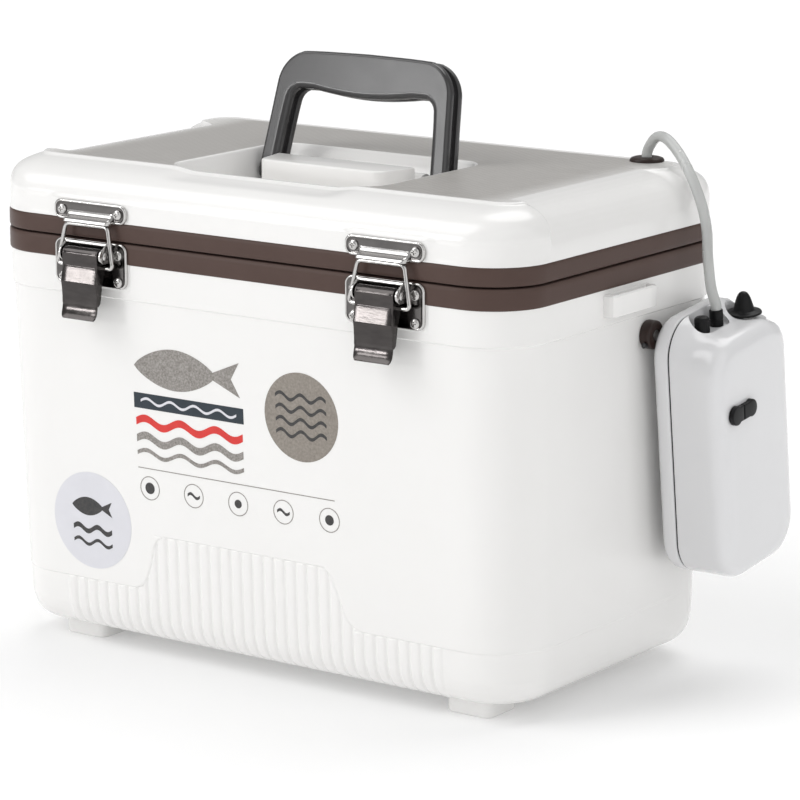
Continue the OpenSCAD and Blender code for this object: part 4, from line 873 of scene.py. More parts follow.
def scoop(u):
    """long shoulder of both ends by share of its length up to 31 mm in: inset, height"""
    q = u * scoop_s[13]
    return np.interp(q, scoop_s, scoop_t[:, 0]), np.interp(q, scoop_s, scoop_t[:, 1])


def end_weight(y):
    return smooth(-76.0, -71.0, y) * smooth(69.5, 60.5, y)


def top_z(x, y):
    """height of the panel: flat, falling away over both ends between the brows"""
    return 288.0 - end_weight(y) * (288.0 - np.interp(184.0 - np.abs(x), scoop_t[:, 0], scoop_t[:, 1]))


def lid_ring(dx, dy, z, r, u, yc=0.0):
    hx, hy = HW - dx, HD - dy
    R = np.array(ring_pts(hx, hy, r, fxl * (hx - r) / 144.05, eyl * (hy - r) / 79.05, NCL, yc))
    x, y = R[:, 0], R[:, 1]
    Z = np.full(len(R), float(z))
    w = end_weight(y) * (np.abs(x) > 100)
    bx_, bz = scoop(u)
    x2 = x * (1 - w) + np.sign(x) * (HW - bx_) * w
    Z2 = Z * (1 - w) + bz * w
    # thin ridge where the front brow meets the end
    ridge = np.exp(-((y + 74.2) / 0.9) ** 2) * (np.abs(x) > 100) * smooth(0.3, 0.42, u)
    x2 = x2 + np.sign(x) * 0.4 * ridge
    Z2 = Z2 + 0.35 * ridge
    return np.column_stack([x2, y, Z2]), w


lid_rings = []
for i, (dx, dy, z, r) in enumerate(prof):
    R, w = lid_ring(dx, dy, z, r, 0.82 * i / (NK - 1))
    hx, hy = HW - dx, HD - dy
    # the brow above z 269.6 stands slightly proud at the corners
    below = smooth(270.0, 269.2, z) * 0.22 * smooth(257.5, 260, z) * smooth(112, 135, np.abs(R[:, 0])) * (R[:, 1] < -60)
    cx = np.clip(R[:, 0], -(hx - r), hx - r)
    cy = np.clip(R[:, 1], -(hy - r), hy - r)
    n = np.stack([R[:, 0] - cx, R[:, 1] - cy], 1)
    n /= np.maximum(np.linalg.norm(n, axis=1), 1e-6)[:, None]
    R[:, :2] -= n * (below * (1 - w))[:, None]
    fr = np.arange(len(R)) < len(fxl)
    pad = smooth(270.0, 268.6, z) * smooth(28.2, 26.4, np.abs(np.abs(R[:, 0]) - LATCH_X)) * fr
    R[:, 1] = R[:, 1] * (1 - pad) + (-114.0) * pad
    lid_rings.append(R)
rim = [(14.9, 23.0, 286.65, 14.8, 1.0), (15.3, 23.9, 286.9, 14.2, 1.7), (15.6, 24.4, 287.35, 13.8, 2.0), (15.9, 24.8, 287.85, 13.4, 2.0), (16.3, 25.3, 288.2, 13.0, 2.0), (16.9, 25.9, 288.32, 12.5, 2.0),
       (17.6, 26.6, 288.25, 12.0, 2.0), (18.5, 27.5, 288.08, 11.2, 2.0), (19.6, 28.6, 288.0, 10.2, 2.0)]
for i, (dx, dy, z, r, yc) in enumerate(rim):
    R, w = lid_ring(dx, dy, z, r, 0.82 + 0.18 * (i + 1) / len(rim), yc)
    lid_rings.append(R)
rim_end = lid_rings[-1].copy()


def pocket_ring(z, hx, hy, r, yc):
    fp = fxl / 144.0 * (hx - r)
    ep = np.interp(eyl, [-79, 79], [-(hy - r), hy - r])
    R = np.array(ring_pts(hx, hy, r, fp, ep, NCL, yc))
    return np.column_stack([R, np.full(len(R), float(z))])


pk = [(288.0, 73.9, 56.6, 16.8, -29.1), (287.95, 73.2, 55.9, 16.3, -29.2), (287.6, 72.5, 55.2, 15.7, -29.35), (286.8, 72.0, 54.6, 15.1, -29.5), (285.2, 71.3, 53.4, 14.4, -30.0),
      (282, 70, 50.6, 13, -31), (278, 69.2, 49, 12, -31.6), (274, 68.4, 47.4, 11, -32.2), (270.2, 68, 46.9, 10.5, -32.35), (268.3, 67.4, 46.3, 10, -32.45), (267.1, 66.4, 45.3, 9.4, -32.5), (266.6, 64.4, 43.3, 8, -32.5)]
lip = pocket_ring(*pk[0])
panel0 = len(lid_rings) - 1
for t in np.linspace(0.1, 0.9, 9):
    R = rim_end * (1 - t) + lip * t
    R[:, 2] = top_z(R[:, 0], R[:, 1])
    lid_rings.append(R)
panel1 = len(lid_rings)
for q in pk:
    lid_rings.append(pocket_ring(*q))
# the edge in front of the recess dips a little
for R in lid_rings:
    k = smooth(66, 48, np.abs(R[:, 0])) * smooth(-78, -84, R[:, 1]) * smooth(282, 286.5, R[:, 2])
    R[:, 2] -= 1.9 * k
g = Geo()
V, F = skin([r.tolist() for r in lid_rings], False, True)
per = len(lid_rings[0])
g.add(V, F, 0)
# the top panel's faces take the grey panel colour, painted shade of the lid top
for fi, f in enumerate(F):
    if len(f) == 4 and panel0 <= f[0] // per < panel1:
        g.M[fi] = 1
# underside: the skin's inner face
inner = [(257.0, 3, 3, 32), (251.0, 3, 3, 32), (251.0, 5.6, 5.6, 29.4), (257, 5.4, 5.4, 29.6), (263, 3.6, 3.7, 31.4), (268.5, 3.8, 4.2, 31.2), (272.5, 4.4, 5.4, 29), (275.8, 5.9, 7.5, 27.5),
         (278.4, 8.3, 10.8, 25.5), (280.4, 11.4, 15, 23), (282, 15, 20.4, 20), (283, 19, 26, 17)]


def plain_ring(z, a, b, r):
    return np.array([(p[0], p[1], z) for p in ring_pts(HW - a, HD - b, r, fxl * (HW - a - r) / 144.05, eyl * (HD - b - r) / 79.05, NCL)])


pk_in = [(283.0, 76, 57, 17, -29.4), (282, 72.2, 52.8, 15, -31), (274, 70.6, 49.6, 13, -32.2), (264.6, 69.8, 48.7, 12, -32.5)]
V2, F2 = skin([lid_rings[0].tolist()] + [plain_ring(*q).tolist() for q in inner] + [pocket_ring(*q).tolist() for q in pk_in], False, True)
g.add(V2, F2, 0)
lid_o = obj_from("lid_moulding", g.V, g.F, ["white", "panel"], None, None, (), 30.0, g.M)
bm = bmesh.new()
bm.from_mesh(lid_o.data)
bmesh.ops.remove_doubles(bm, verts=bm.verts, dist=0.00001)
bmesh.ops.recalc_face_normals(bm, faces=bm.faces)
bm.to_mesh(lid_o.data)
bm.free()
lid_o.data.shade_smooth()
lid_o.data.set_sharp_from_angle(angle=math.radians(34))
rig.ride(lid_o, "lid")
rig.replaces(lid_o, "lid_shell")
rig.slot(lid_o, "white_plastic")

# inside face of the lid
g = Geo()
st = [(249, 14.1, 14.1, 20.9), (247, 14.1, 14.1, 20.9), (246.6, 14.5, 14.5, 20.5), (246.5, 15.2, 15.2, 20), (246.5, 39, 39, 14.8), (246.7, 39.8, 39.8, 14.2), (247.3, 40.4, 40.4, 13.8), (247.3, 60, 60, 10)]
sk(g, [[(p[0], p[1], z) for p in rr(HW - a, HD - b, r, 10)] for z, a, b, r in st])
g.obj("lid_inside_face", ["liner"], "lid", "liner_plastic", ("lid_liner",), sharp=40)


# ------------------------------------------------------------------ handle
def arc2(cx, cy, r, a0, a1, n):
    return [(cx + r * math.cos(math.radians(a)), cy + r * math.sin(math.radians(a))) for a in np.linspace(a0, a1, n + 1)]


bow_o = [(66, 0), (65, 11), (64, 22), (62.9, 33.5), (62.1, 43)] + arc2(40.4, 49.5, 21, 4, 80, 14) + [(30, 70.75), (14, 71), (0, 71.2)]
bow_i = [(54.6, 0), (53.9, 9), (53.1, 18), (52.3, 27), (51.3, 36)] + arc2(42.6, 40.6, 8, 5, 75, 10) + [(x, 49 - 3.6 * math.cos(math.radians(90 * x / 40))) for x in (36, 30, 24, 18, 12, 6, 0)]


def mirror_bow(P):
    P = [tuple(p) for p in P]
    return P + [(-x, y) for x, y in P[-2::-1]]


o_ = spline(np.array(mirror_bow(bow_o)), 2)
i_ = spline(np.array(mirror_bow(bow_i)), 2)
lean = math.radians(14)
piv = np.array([0, 0, 276.0])
h_map = frame_map(piv, (1, 0, 0), (0, math.sin(lean), math.cos(lean)), (0, -math.cos(lean), math.sin(lean)))   # (u across, v up, t forward)


def bow_poly(do, di, v0=0.0):
    """outline of the bow with its outer line set in by do and its inner line set out by di"""
    def shift(L, d):
        T = np.gradient(L, axis=0)
        T /= np.linalg.norm(T, axis=1)[:, None]
        return L + np.stack([-T[:, 1], T[:, 0]], 1) * d
    O = shift(o_, do)
    I = shift(i_, -di)
    return np.vstack([O, I[::-1]])


def flange(g, t0, t1, low, high, do=0.0, di=0.0, seg=6):
    """flange of the bow from t0 to t1; low and high give each edge's rounding (depth, outer, inner)"""
    R = []
    for k in range(seg + 1):
        a = math.pi / 2 * k / seg
        R.append((t0 + low[0] * (1 - math.cos(a)), low[1] * (1 - math.sin(a)), low[2] * (1 - math.sin(a))))
    R.insert(0, (t0, low[1] + 0.7, low[2] + 0.7))
    for k in range(seg, -1, -1):
        a = math.pi / 2 * k / seg
        R.append((t1 - high[0] * (1 - math.cos(a)), high[1] * (1 - math.sin(a)), high[2] * (1 - math.sin(a))))
    R.append((t1, high[1] + 0.7, high[2] + 0.7))
    rings_ = []
    for t, d, e in R:
        P = bow_poly(do + d, di + e)
        rings_.append(np.column_stack([P, np.full(len(P), t)]))
    n = len(o_)
    V, F = skin([r.tolist() for r in rings_], False, False)
    m_ = len(rings_[0])
    # both flat faces, cut into triangles and turned to face outwards

    def turn(P, q):
        P = P[list(q)]
        return np.sign(np.sum(P[:, 0] * np.roll(P[:, 1], -1) - np.roll(P[:, 0], -1) * P[:, 1]))
    for ring_, base_, flip in ((rings_[0], 0, -1), (rings_[-1], (len(rings_) - 1) * m_, 1)):
        i = n // 2
        want = turn(ring_, (i, i + 1, m_ - 2 - i, m_ - 1 - i)) * flip
        for q in tessellate_polygon([[Vector((float(x), float(y), 0.0)) for x, y, _ in ring_]]):
            w_ = turn(ring_, q)
            q = q if w_ in (0, want) else q[::-1]
            F.append(tuple(base_ + k for k in q))
    return g.add(h_map(np.array(V)), F)


g = Geo()
flange(g, 2.3, 7.0, (0.6, 0.5, 0.6), (3.0, 1.5, 3.4))          # front flange, its inner edge well rounded
flange(g, -7.0, -2.6, (1.6, 1.3, 1.5), (0.7, 0.6, 0.6))         # rear flange
flange(g, -3.0, 3.0, (0.1, 0.1, 0.1), (0.1, 0.1, 0.1), 2.2, 2.2)   # web
for s in (-1, 1):
    turned(g, [(0.01, 0), (6.1, 0), (6.6, 0.25), (6.9, 0.7), (7, 1.3), (7, 10.1), (6.9, 10.7), (6.6, 11.15), (6.1, 11.4), (0.01, 11.4)], piv + np.array([s * 54.6, 0, 0]), (s, 0, 0), 48)
handle = g.obj("carry_bow", ["handle"], "carry_handle", "handle_plastic", ("handle",), sharp=42)

# block in the recess
blk = [(-48.4, -10.2)] + [(-37.4 + 7 * math.cos(math.radians(a)), -29 + 7 * math.sin(math.radians(a))) for a in np.linspace(194, 270, 9)] + \
      [(37.4 + 7 * math.cos(math.radians(a)), -29 + 7 * math.sin(math.radians(a))) for a in np.linspace(-90, -14, 9)] + [(48.4, -10.2)]
blk = np.array(blk)
g = Geo()
slab(g, blk, 266.6, 287.95, 0.3, 1.2, 4, to=lambda V: V)
for s in (-1, 1):
    x0, x1 = (36.1, 48.95) if s > 0 else (-48.95, -36.1)
    prof = [(y, z) for y, z in ((-10.5, 266.6), (7, 266.6), (7, 276))] + [(7 * math.cos(a), 276 + 7 * math.sin(a)) for a in np.linspace(0.15, math.pi - 0.15, 12)] + [(-7, 276), (-10.5, 276)]
    slab(g, np.array(prof), x0, x1, 0.6, 0.6, 3, to=lambda V: np.stack([V[:, 2], V[:, 0], V[:, 1]], 1))
g.obj("handle_block_moulding", ["white_block"], "lid", "white_plastic", ("handle_block",), sharp=40)

# ------------------------------------------------------------------ latches
def plate_outline(hx, hz, r, n=8):
    return np.array(rr(hx, hz, r, n))


def front_map(x0, z0, y=FRONT_Y):
    """(u, v, t): u along x, v up, t out of the front"""
    return lambda V: np.stack([x0 + V[:, 0], y - V[:, 2], z0 + V[:, 1]], 1)


def rim_plate(g, hx, hz, r, x0, z0, top=1.5, rim=0.35, field_=1.15):
    """pressed plate: bright raised rim all round and a slightly lower field, the field painted in a darker copy of the
    steel as a dark reflection
    """
    to = front_map(x0, z0)
    sl = [(0, 0.1), (0, 0.7), (0.12, 1.15), (0.4, 1.42), (0.8, top), (1.25, top - 0.04), (1.7, field_ + 0.1), (2.1, field_), (2.8, field_)]
    R = []
    for d, t in sl:
        P = np.array(rr(hx - d, hz - d, max(r - d, 0.6), 8))
        R.append(np.column_stack([P, np.full(len(P), t)]))
    V, F = skin([q.tolist() for q in R])
    k, per_ = len(g.M), len(R[0])
    g.add(to(np.array(V)), F)
    # the field faces take the darkened steel: painted dark reflection
    for i, f in enumerate(F):
        if min(f) >= 5 * per_:
            g.M[k + i] = 1
    return g


def latch_parts(s, name):
    X = s * LATCH_X
    # base plate with ears and bridge bar
    g = Geo()
    rim_plate(g, 26.4, 13.1, 5, X, 232.4)
    for q in (-1, 1):
        ex = X + q * 14.75
        P = [(-114.6, 234.4), (-121.05, 234.1)] + [(-121.05 + 4.4 * math.cos(a), 238.5 + 4.4 * math.sin(a)) for a in np.linspace(math.pi * 1.5, math.pi * 0.62, 12)] + \
            [(-119.6, 244.6), (-118.15, 245.7), (-114.6, 245.0)]
        P = np.array(P)[::-1]
        slab(g, P, ex - 0.7, ex + 0.7, 0.3, 0.3, 3, to=lambda V: np.stack([V[:, 2], V[:, 0], V[:, 1]], 1))
    turned(g, [(0.01, 0), (0.9, 0), (1.3, 0.4), (1.3, 30.4), (0.9, 30.8), (0.01, 30.8)], (X - 15.4, -118.15, 244.4), (1, 0, 0), 24)
    solid_box(g, (X - 15.0, -118.15, 243.9), (X + 15.0, -114.7, 244.9), 0.3)
    g.obj("latch_plate_" + name, ["steel", "field"], "box", "stainless", ("latch_base_" + name,), sharp=40)
    g = Geo()
    # lever
    g2 = Geo()
    prof = []     # plate section in (y, z): roll, inclined facet, bulged lower part, flared tip
    outer = [(-121.05 + 4.1 * math.cos(a), 238.5 + 4.1 * math.sin(a)) for a in np.linspace(math.radians(40), math.radians(180), 14)]
    outer += [(-125.15, 236), (-125.1, 233.2), (-125.12, 232.0), (-125.35, 231.0), (-126.25, 226.4), (-126.85, 223.4), (-126.95, 222.7), (-126.8, 221.8), (-126.1, 217.5), (-125.7, 212.5), (-125.9, 208),
              (-126.6, 204.2), (-127.6, 201.4), (-128.2, 200.4)]
    outer = [(a, b if b > 213 else 213 - (213 - b) * 0.85) for a, b in outer]
    outer = spline(np.array(outer), 3)
    T = np.gradient(outer, axis=0)
    T /= np.linalg.norm(T, axis=1)[:, None]
    inner_ = outer + np.stack([-T[:, 1], T[:, 0]], 1) * 1.2
    hwid = np.interp(outer[:, 1], [202.2, 203.1, 204.9, 242], [11.2, 12.1, 12.6, 12.6])
    rings_ = []
    us = np.linspace(-1, 1, 13)
    for (yo, zo), (yi, zi), h in zip(outer, inner_, hwid):
        ring_ = []
        for u in us:
            e = 0.55 * max(0, abs(u) - 0.86) / 0.14
            ring_.append((X + u * h, yo + e * e * 0.9, zo))
        for u in us[::-1]:
            ring_.append((X + u * h, yi, zi))
        rings_.append(ring_)
    sk(g2, rings_)
    for q in (-1, 1):
        ex = X + q * 12.15
        P = [(-121.05 + 4.1 * math.cos(a), 238.5 + 4.1 * math.sin(a)) for a in np.linspace(math.radians(-60), math.radians(180), 22)]
        P += [(-125.1, 232), (-126.1, 225), (-126.3, 222), (-125.7, 214), (-125.8, 210.2), (-124.0, 209.6), (-122.4, 211), (-121.6, 214), (-120.6, 221), (-118.7, 226.5), (-118.4, 233.0)]
        slab(g2, np.array(P), ex - 0.6, ex + 0.6, 0.25, 0.25, 3, to=lambda V: np.stack([V[:, 2], V[:, 0], V[:, 1]], 1))
    # the lever takes the darkened steel, a painted dark reflection
    g2.obj("lever_plate_" + name, ["lever"], "lever_" + name, "stainless", ("latch_lever_" + name,), sharp=40)
    # wire bail
    b, t = np.array([20.2, -120.05, 231.5]), np.array([15.4, -118.25, 254.9])
    d = (t - b) / np.linalg.norm(t - b)
    r = 3.2
    half = [(11.2, -120.05, 231.5), (14, -120.05, 231.5)]
    q = np.linspace(0, 1, 9)
    half += [tuple((1 - a) ** 2 * np.array([20.2 - r, b[1], b[2]]) + 2 * a * (1 - a) * b + a * a * (b + r * d)) for a in q]
    half += [tuple(b + (t - b) * f) for f in (0.3, 0.45, 0.6, 0.72)]
    half += [tuple((1 - a) ** 2 * (t - r * d) + 2 * a * (1 - a) * t + a * a * np.array([15.4 - r, t[1], t[2]])) for a in q]
    half += [(8, t[1], t[2]), (4, t[1], t[2]), (0, t[1], t[2])]
    L = np.array(half + [(-x, y, z) for x, y, z in half[-2::-1]])
    L[:, 0] += X
    g3 = Geo()
    tube(g3, L, 1.25, 16)
    g3.obj("bail_wire_" + name, ["steel"], "bail_" + name, "stainless", ("latch_bail_" + name,), sharp=50)
    # keeper with formed hood
    g4 = Geo()
    rim_plate(g4, 26.4, 5.7, 4.9, X, 262.0)
    # hood: convex bulge over the middle of the plate, rolled under at its lip
    us = np.linspace(-1, 1, 41)
    prof = [(1.0, 262.4), (1.3, 261.6), (1.55, 260.8), (1.9, 260.1), (2.6, 259.4), (3.6, 258.8), (4.7, 258.35), (5.6, 257.85), (6.2, 257.2), (6.45, 256.6), (6.4, 256.1), (6.1, 255.85),
            (5.7, 255.95), (5.5, 256.5), (5.0, 257.2), (4.2, 257.7), (3.0, 258.2), (1.9, 258.9), (0.8, 259.8)]
    rings_ = []
    for u in us:
        a = min(1.0, (1 - abs(u)) / 0.12)
        e = math.sin(a * math.pi / 2) ** 0.8
        rings_.append([(X + u * 17.0, FRONT_Y - (1.0 + (p - 1.0) * (0.35 + 0.65 * e)), z) for p, z in prof])
    sk(g4, rings_)
    g4.obj("keeper_plate_" + name, ["steel", "field"], "lid", "stainless", ("keeper_" + name,), sharp=45)


both(latch_parts)

# pivot pins of the levers, with domed heads
g = Geo()
for s in (-1, 1):
    c = np.array([s * LATCH_X, -121.05, 238.5])
    turned(g, [(0.01, 0), (1.5, 0), (1.5, 31), (0.01, 31)], c + (-15.5, 0, 0), (1, 0, 0), 24)
    for q in (-1, 1):
        turned(g, [(2.2, 0), (2.4, 0.15), (2.4, 0.45), (2.1, 0.8), (1.4, 1.02), (0.6, 1.1), (0.01, 1.1)], c + (q * 15.6, 0, 0), (q, 0, 0), 28)
        turned(g, [(1.6, 0), (2.35, 0.05), (2.4, 0.5), (1.6, 0.6)], c + (q * 12.9, 0, 0), (q, 0, 0), 24)
g.obj("latch_pins", ["screw"], "box", "stainless", ("latch_pivot_pins",), sharp=45)


# ------------------------------------------------------------------ screws
def pan_head(g, at, axis, r=3.0, h=1.6):
    """pan head with a cross recess; at is the underside's middle, axis points out"""
    at, az = np.array(at, float), np.array(axis, float)
    ref = np.array([0, 0, 1.0]) if abs(az[2]) < 0.9 else np.array([1.0, 0, 0])
    ax = np.cross(ref, az)
    ax /= np.linalg.norm(ax)
    ay = np.cross(az, ax)
    n = 48
    prof = [(0.86 * r, -0.2), (0.97 * r, 0.0), (1.0 * r, 0.25 * h), (0.97 * r, 0.5 * h), (0.88 * r, 0.72 * h), (0.74 * r, 0.88 * h), (0.58 * r, 0.96 * h), (0.5 * r, 0.985 * h)]
    rings_ = []
    for rad, z in prof:
        rings_.append([(rad * math.cos(2 * math.pi * i / n), rad * math.sin(2 * math.pi * i / n), z) for i in range(n)])

    def cross_r(a):
        """outline of the recess"""
        a = (a + math.pi / 4) % (math.pi / 2) - math.pi / 4
        w_, l_ = 0.12 * r, 0.5 * r
        return min(l_, w_ / max(abs(math.sin(a)), 1e-3)) if abs(math.sin(a)) > 1e-3 else l_
    top = [(min(0.5 * r, cross_r(2 * math.pi * i / n) * 1.06), 2 * math.pi * i / n) for i in range(n)]
    rings_.append([(a * math.cos(b), a * math.sin(b), h) for a, b in top])
    rings_.append([(a * 0.8 * math.cos(b), a * 0.8 * math.sin(b), h * 0.5) for a, b in top])
    rings_.append([(a * 0.2 * math.cos(b), a * 0.2 * math.sin(b), h * 0.35) for a, b in top])
    V, F = skin(rings_)
    return g.add(frame_map(at, ax, ay, az)(np.array(V)), F)


g = Geo()
for s in (-1, 1):
    for x in (-20.35, 20.35):
        for z in (223.3, 238.7):
            pan_head(g, (s * LATCH_X + x, FRONT_Y - 1.2, z), (0, -1, 0))
g.obj("latch_screw_heads", ["screw"], "box", "stainless", ("latch_base_screws",), sharp=40)
g = Geo()
for s in (-1, 1):
    for x in (-20.35, 20.35):
        pan_head(g, (s * LATCH_X + x, FRONT_Y - 1.2, 262), (0, -1, 0))
g.obj("keeper_screw_heads", ["screw"], "lid", "stainless", ("keeper_screws",), sharp=40)

# ------------------------------------------------------------------ hinges
def back_map(x0, z0, y=114.05):
    return lambda V: np.stack([x0 - V[:, 0], y + V[:, 2], z0 + V[:, 1]], 1)


for which, zc, hz, body, ks in (("box", 238.4, 7.4, "box", (-18, 6.4)), ("lid", 254.3, 7.2, "lid", (-6,))):
    g = Geo()
    for s in (-1, 1):
        X = s * HINGE_X
        P = np.array(rr(18, hz, 2.2, 6))
        slab(g, P, 0.05, 1.6, 0.1, 0.45, 3, to=back_map(X, zc))
        for k in ks:
            ln = 11.6 if which == "box" else 12.0
            turned(g, [(1.6, 0), (3.9, 0), (4.18, 0.35), (4.18, ln - 0.35), (3.9, ln), (1.6, ln)], (X + k, 119.6, 246), (1, 0, 0), 36)
            zz = (242.6, 246) if which == "box" else (246, 249.4)
            solid_box(g, (X + k + 0.1, 114.2, zz[0]), (X + k + ln - 0.1, 117.6, zz[1]), 0.3)
    g.obj("hinge_leaf_" + which, ["steel"], body, "stainless", ("hinge_%s_leaves" % ("body" if which == "box" else "lid"),), sharp=40)
g = Geo()
for s in (-1, 1):
    turned(g, [(0.01, 0), (1.9, 0), (2.2, 0.4), (1.5, 0.55), (1.5, 36.6), (2.2, 36.8), (1.9, 37.2), (0.01, 37.2)], (s * HINGE_X - 18.6, 119.6, 246), (1, 0, 0), 24)
g.obj("hinge_pins_turned", ["steel"], "box", "stainless", ("hinge_pins",), sharp=45)
for body, z, node in (("box", 236.0, "hinge_body_screws"), ("lid", 254.5, "hinge_lid_screws")):
    g = Geo()
    for s in (-1, 1):
        for x in (-13, 13):
            pan_head(g, (s * HINGE_X + x, 115.6, z), (0, 1, 0), 2.7, 1.2)
    g.obj(node + "_heads", ["screw"], body, "stainless", (node,), sharp=40)

# ------------------------------------------------------------------ grommet, pegs
g = Geo()
prof = [(3.2, 262.0), (3.2, 290.0), (3.7, 290.55), (5.2, 290.6), (7.6, 290.45), (9.2, 289.9), (9.95, 288.9), (10.0, 287.6), (9.9, 286.0), (9.0, 285.2), (6.0, 284.8), (6.0, 262.0)]
V, F = revolve(prof + [prof[0]], 48, False)
V = np.array(V)
V[:, 0] += 143
V[:, 1] += 86
g.add(V, F)
grom = g.obj("grommet_turned", ["brown_rubber"], "lid", "brown_rubber", ("line_grommet",), sharp=50)
g = Geo()
for y in (24, 100):
    turned(g, [(3.2, 0), (7.4, 0), (8.0, 0.3), (8.2, 1.0), (8.2, 5.2), (8.0, 6.1), (7.4, 6.6), (6.6, 6.7), (3.8, 6.7), (3.3, 6.4), (3.2, 5.9), (3.2, 5.2), (0.01, 5.2)], (182.5, y, 202), (1, 0, 0), 44)
g.obj("pegs_turned", ["brown_rubber"], "box", "brown_rubber", ("pump_pegs",), sharp=45)

# ------------------------------------------------------------------ pump
PW_, PH_ = 39.0, 75.0


def top_drop(x, y, z):
    """how far the case's top falls below its rear edge"""
    steep = np.interp(x, [12, 14, 18, 21, 24, 28, 32, 36, 40, 44], [0, 1.0, 4.2, 6.6, 8.0, 8.8, 9.1, 9.4, 9.6, 9.6])
    mild = np.interp(x, [12, 20, 28, 36, 42, 44], [0, 0.8, 3.6, 6.4, 5.8, 5.8])
    w = smooth(37.5, 27, y)
    return (steep * w + mild * (1 - w)) * smooth(24, 58, z)


def xr(x, hy, hz, r, n=12):
    P = np.array(rr(hy, hz, r, n))
    return [(x, a, b - (float(top_drop(x, a, b)) if x > 12 else 0.0)) for a, b in P]


g = Geo()
cov = [(2.4, 33.6, 69.6, 16.6), (0.2, 34.0, 70.0, 16.8), (0.0, 34.8, 70.8, 17.8), (0.35, 36.0, 72.0, 19), (1.2, 37, 73, 20), (2.3, 38.0, 74.0, 21), (3.6, 38.6, 74.6, 21.6), (5.5, 38.9, 74.9, 21.9),
       (9.6, 39, 75, 22), (10.1, 38.8, 74.8, 21.8), (10.5, 38.2, 74.2, 21.2), (10.5, 36.8, 72.8, 19.8), (4, 36.2, 72.2, 19.2), (2.4, 33.6, 69.6, 16.6)]
cov = cov[1:]
R = [xr(*q) for q in cov]
V, F = skin(R, True, True)
g.add(pump_map(np.array(V)), F)
g.obj("pump_back_shell", ["pump"], "box", "pump_plastic", ("pump_back_cover",), sharp=35)
g = Geo()
R = [xr(*q) for q in ((10.45, 37.4, 73.4, 20.4), (10.5, 38.1, 74.1, 21.1), (11.0, 38.3, 74.3, 21.3), (11.55, 38.1, 74.1, 21.1), (11.6, 37.4, 73.4, 20.4), (11.6, 35.6, 71.6, 18.6), (10.45, 35.6, 71.6, 18.6))]
V, F = skin(R + [R[0]], False, False)
g.add(pump_map(np.array(V)), F)
g.obj("pump_seal_ring", ["rubber"], "box", "black_rubber", ("pump_seal",), sharp=50)
# front shell: crowned face, rounded edges, hollow inside
hs = [(11.6, 36.8, 72.8, 19.8), (11.6, 38.5, 74.5, 21.6), (11.7, 38.85, 74.85, 21.9), (12.0, 39, 75, 22), (13.5, 39, 75, 22), (15.5, 39, 75, 22), (18, 39, 75, 22), (20.5, 39, 75, 22), (23, 39, 75, 22), (26, 39, 75, 22), (30, 39, 75, 22), (34.0, 39, 75, 22), (36.2, 38.85, 74.85, 21.9), (38.0, 38.45, 74.4, 21.5), (39.8, 37.6, 73.5, 20.7), (41.4, 36.2, 72.0, 19.6),
      (42.6, 34.4, 70.0, 18.2), (43.3, 32.2, 67.2, 16.6), (43.75, 28.5, 62.5, 14.2), (43.9, 22.5, 56, 11.5), (44.0, 14, 47, 8), (44.0, 4, 36, 2.4)]
ins = [(41.5, 4, 36, 2.4), (41.4, 28, 60, 13), (39.0, 33.6, 69.2, 17), (36, 35.8, 71.8, 18.8), (32, 36.8, 72.8, 19.8), (28, 36.8, 72.8, 19.8), (24, 36.8, 72.8, 19.8), (21, 36.8, 72.8, 19.8), (18, 36.8, 72.8, 19.8), (15, 36.8, 72.8, 19.8), (12, 36.8, 72.8, 19.8), (11.6, 36.8, 72.8, 19.8)]
g = Geo()
V, F = skin([xr(*q) for q in hs], False, True)
g.add(V, F)
V, F = skin([xr(*q) for q in ins], True, False)
g.add(V, F)
body_g = Geo()
body_g.V = [tuple(v) for v in pump_map(np.array(g.V))]
body_g.F, body_g.M = g.F, g.M
front = body_g.obj("pump_front_shell", ["pump", "black"], None, None, (), 35)
bm = bmesh.new()
bm.from_mesh(front.data)
bmesh.ops.remove_doubles(bm, verts=bm.verts, dist=0.00001)
bmesh.ops.recalc_face_normals(bm, faces=bm.faces)
bm.to_mesh(front.data)
bm.free()


def pump_tool(fn):
    t = Geo()
    fn(t)
    q = Geo()
    q.V = [tuple(v) for v in pump_map(np.array(t.V))]
    q.F, q.M = t.F, t.M
    return tool(q, "pump")


def stadium(x, y0, y1, r, n=16):
    P = [(x + r * math.cos(a), y1 + r * math.sin(a)) for a in np.linspace(0, math.pi, n)]
    P += [(x + r * math.cos(a), y0 + r * math.sin(a)) for a in np.linspace(math.pi, 2 * math.pi, n)]
    return np.array(P)


def recess_tools(t):
    # wall material comes from a block joined on first; here only the cuts
    P = stadium(19, -14, 1.5, 7.2)
    R_ = [np.column_stack([offset_poly(P, 0.5), np.full(len(P), 65.0)]), np.column_stack([P, np.full(len(P), 65.6)]), np.column_stack([P, np.full(len(P), 79)])]
    V_, F_ = skin([q.tolist() for q in R_])
    t.add(V_, F_)


def recess_round(t):
    V_, F_ = revolve([(10.1, 65.0), (10.6, 65.6), (10.6, 79)], 40)
    V_ = np.array(V_) + np.array([24.5, 22.5, 0])
    t.add(V_, F_)


def socket_hole(t):
    V_, F_ = revolve([(5, 0), (5, 16)], 32)
    V_ = np.array(V_)
    t.add(np.stack([33 + V_[:, 2], -9.5 + V_[:, 0], 23.5 + V_[:, 1]], 1), F_)


def pocket_walls(t):
    P = stadium(19, -14, 1.5, 9.2)
    top = np.array([75 - float(top_drop(a, b, 75)) - (22 - math.sqrt(max(0.0, 484 - max(0.0, -b - 17) ** 2))) - 1.0 for a, b in P])
    R_ = [np.column_stack([P, np.full(len(P), 62.6)]), np.column_stack([P, np.maximum(top, 63.2)])]
    V_, F_ = skin([q.tolist() for q in R_])
    t.add(V_, F_)


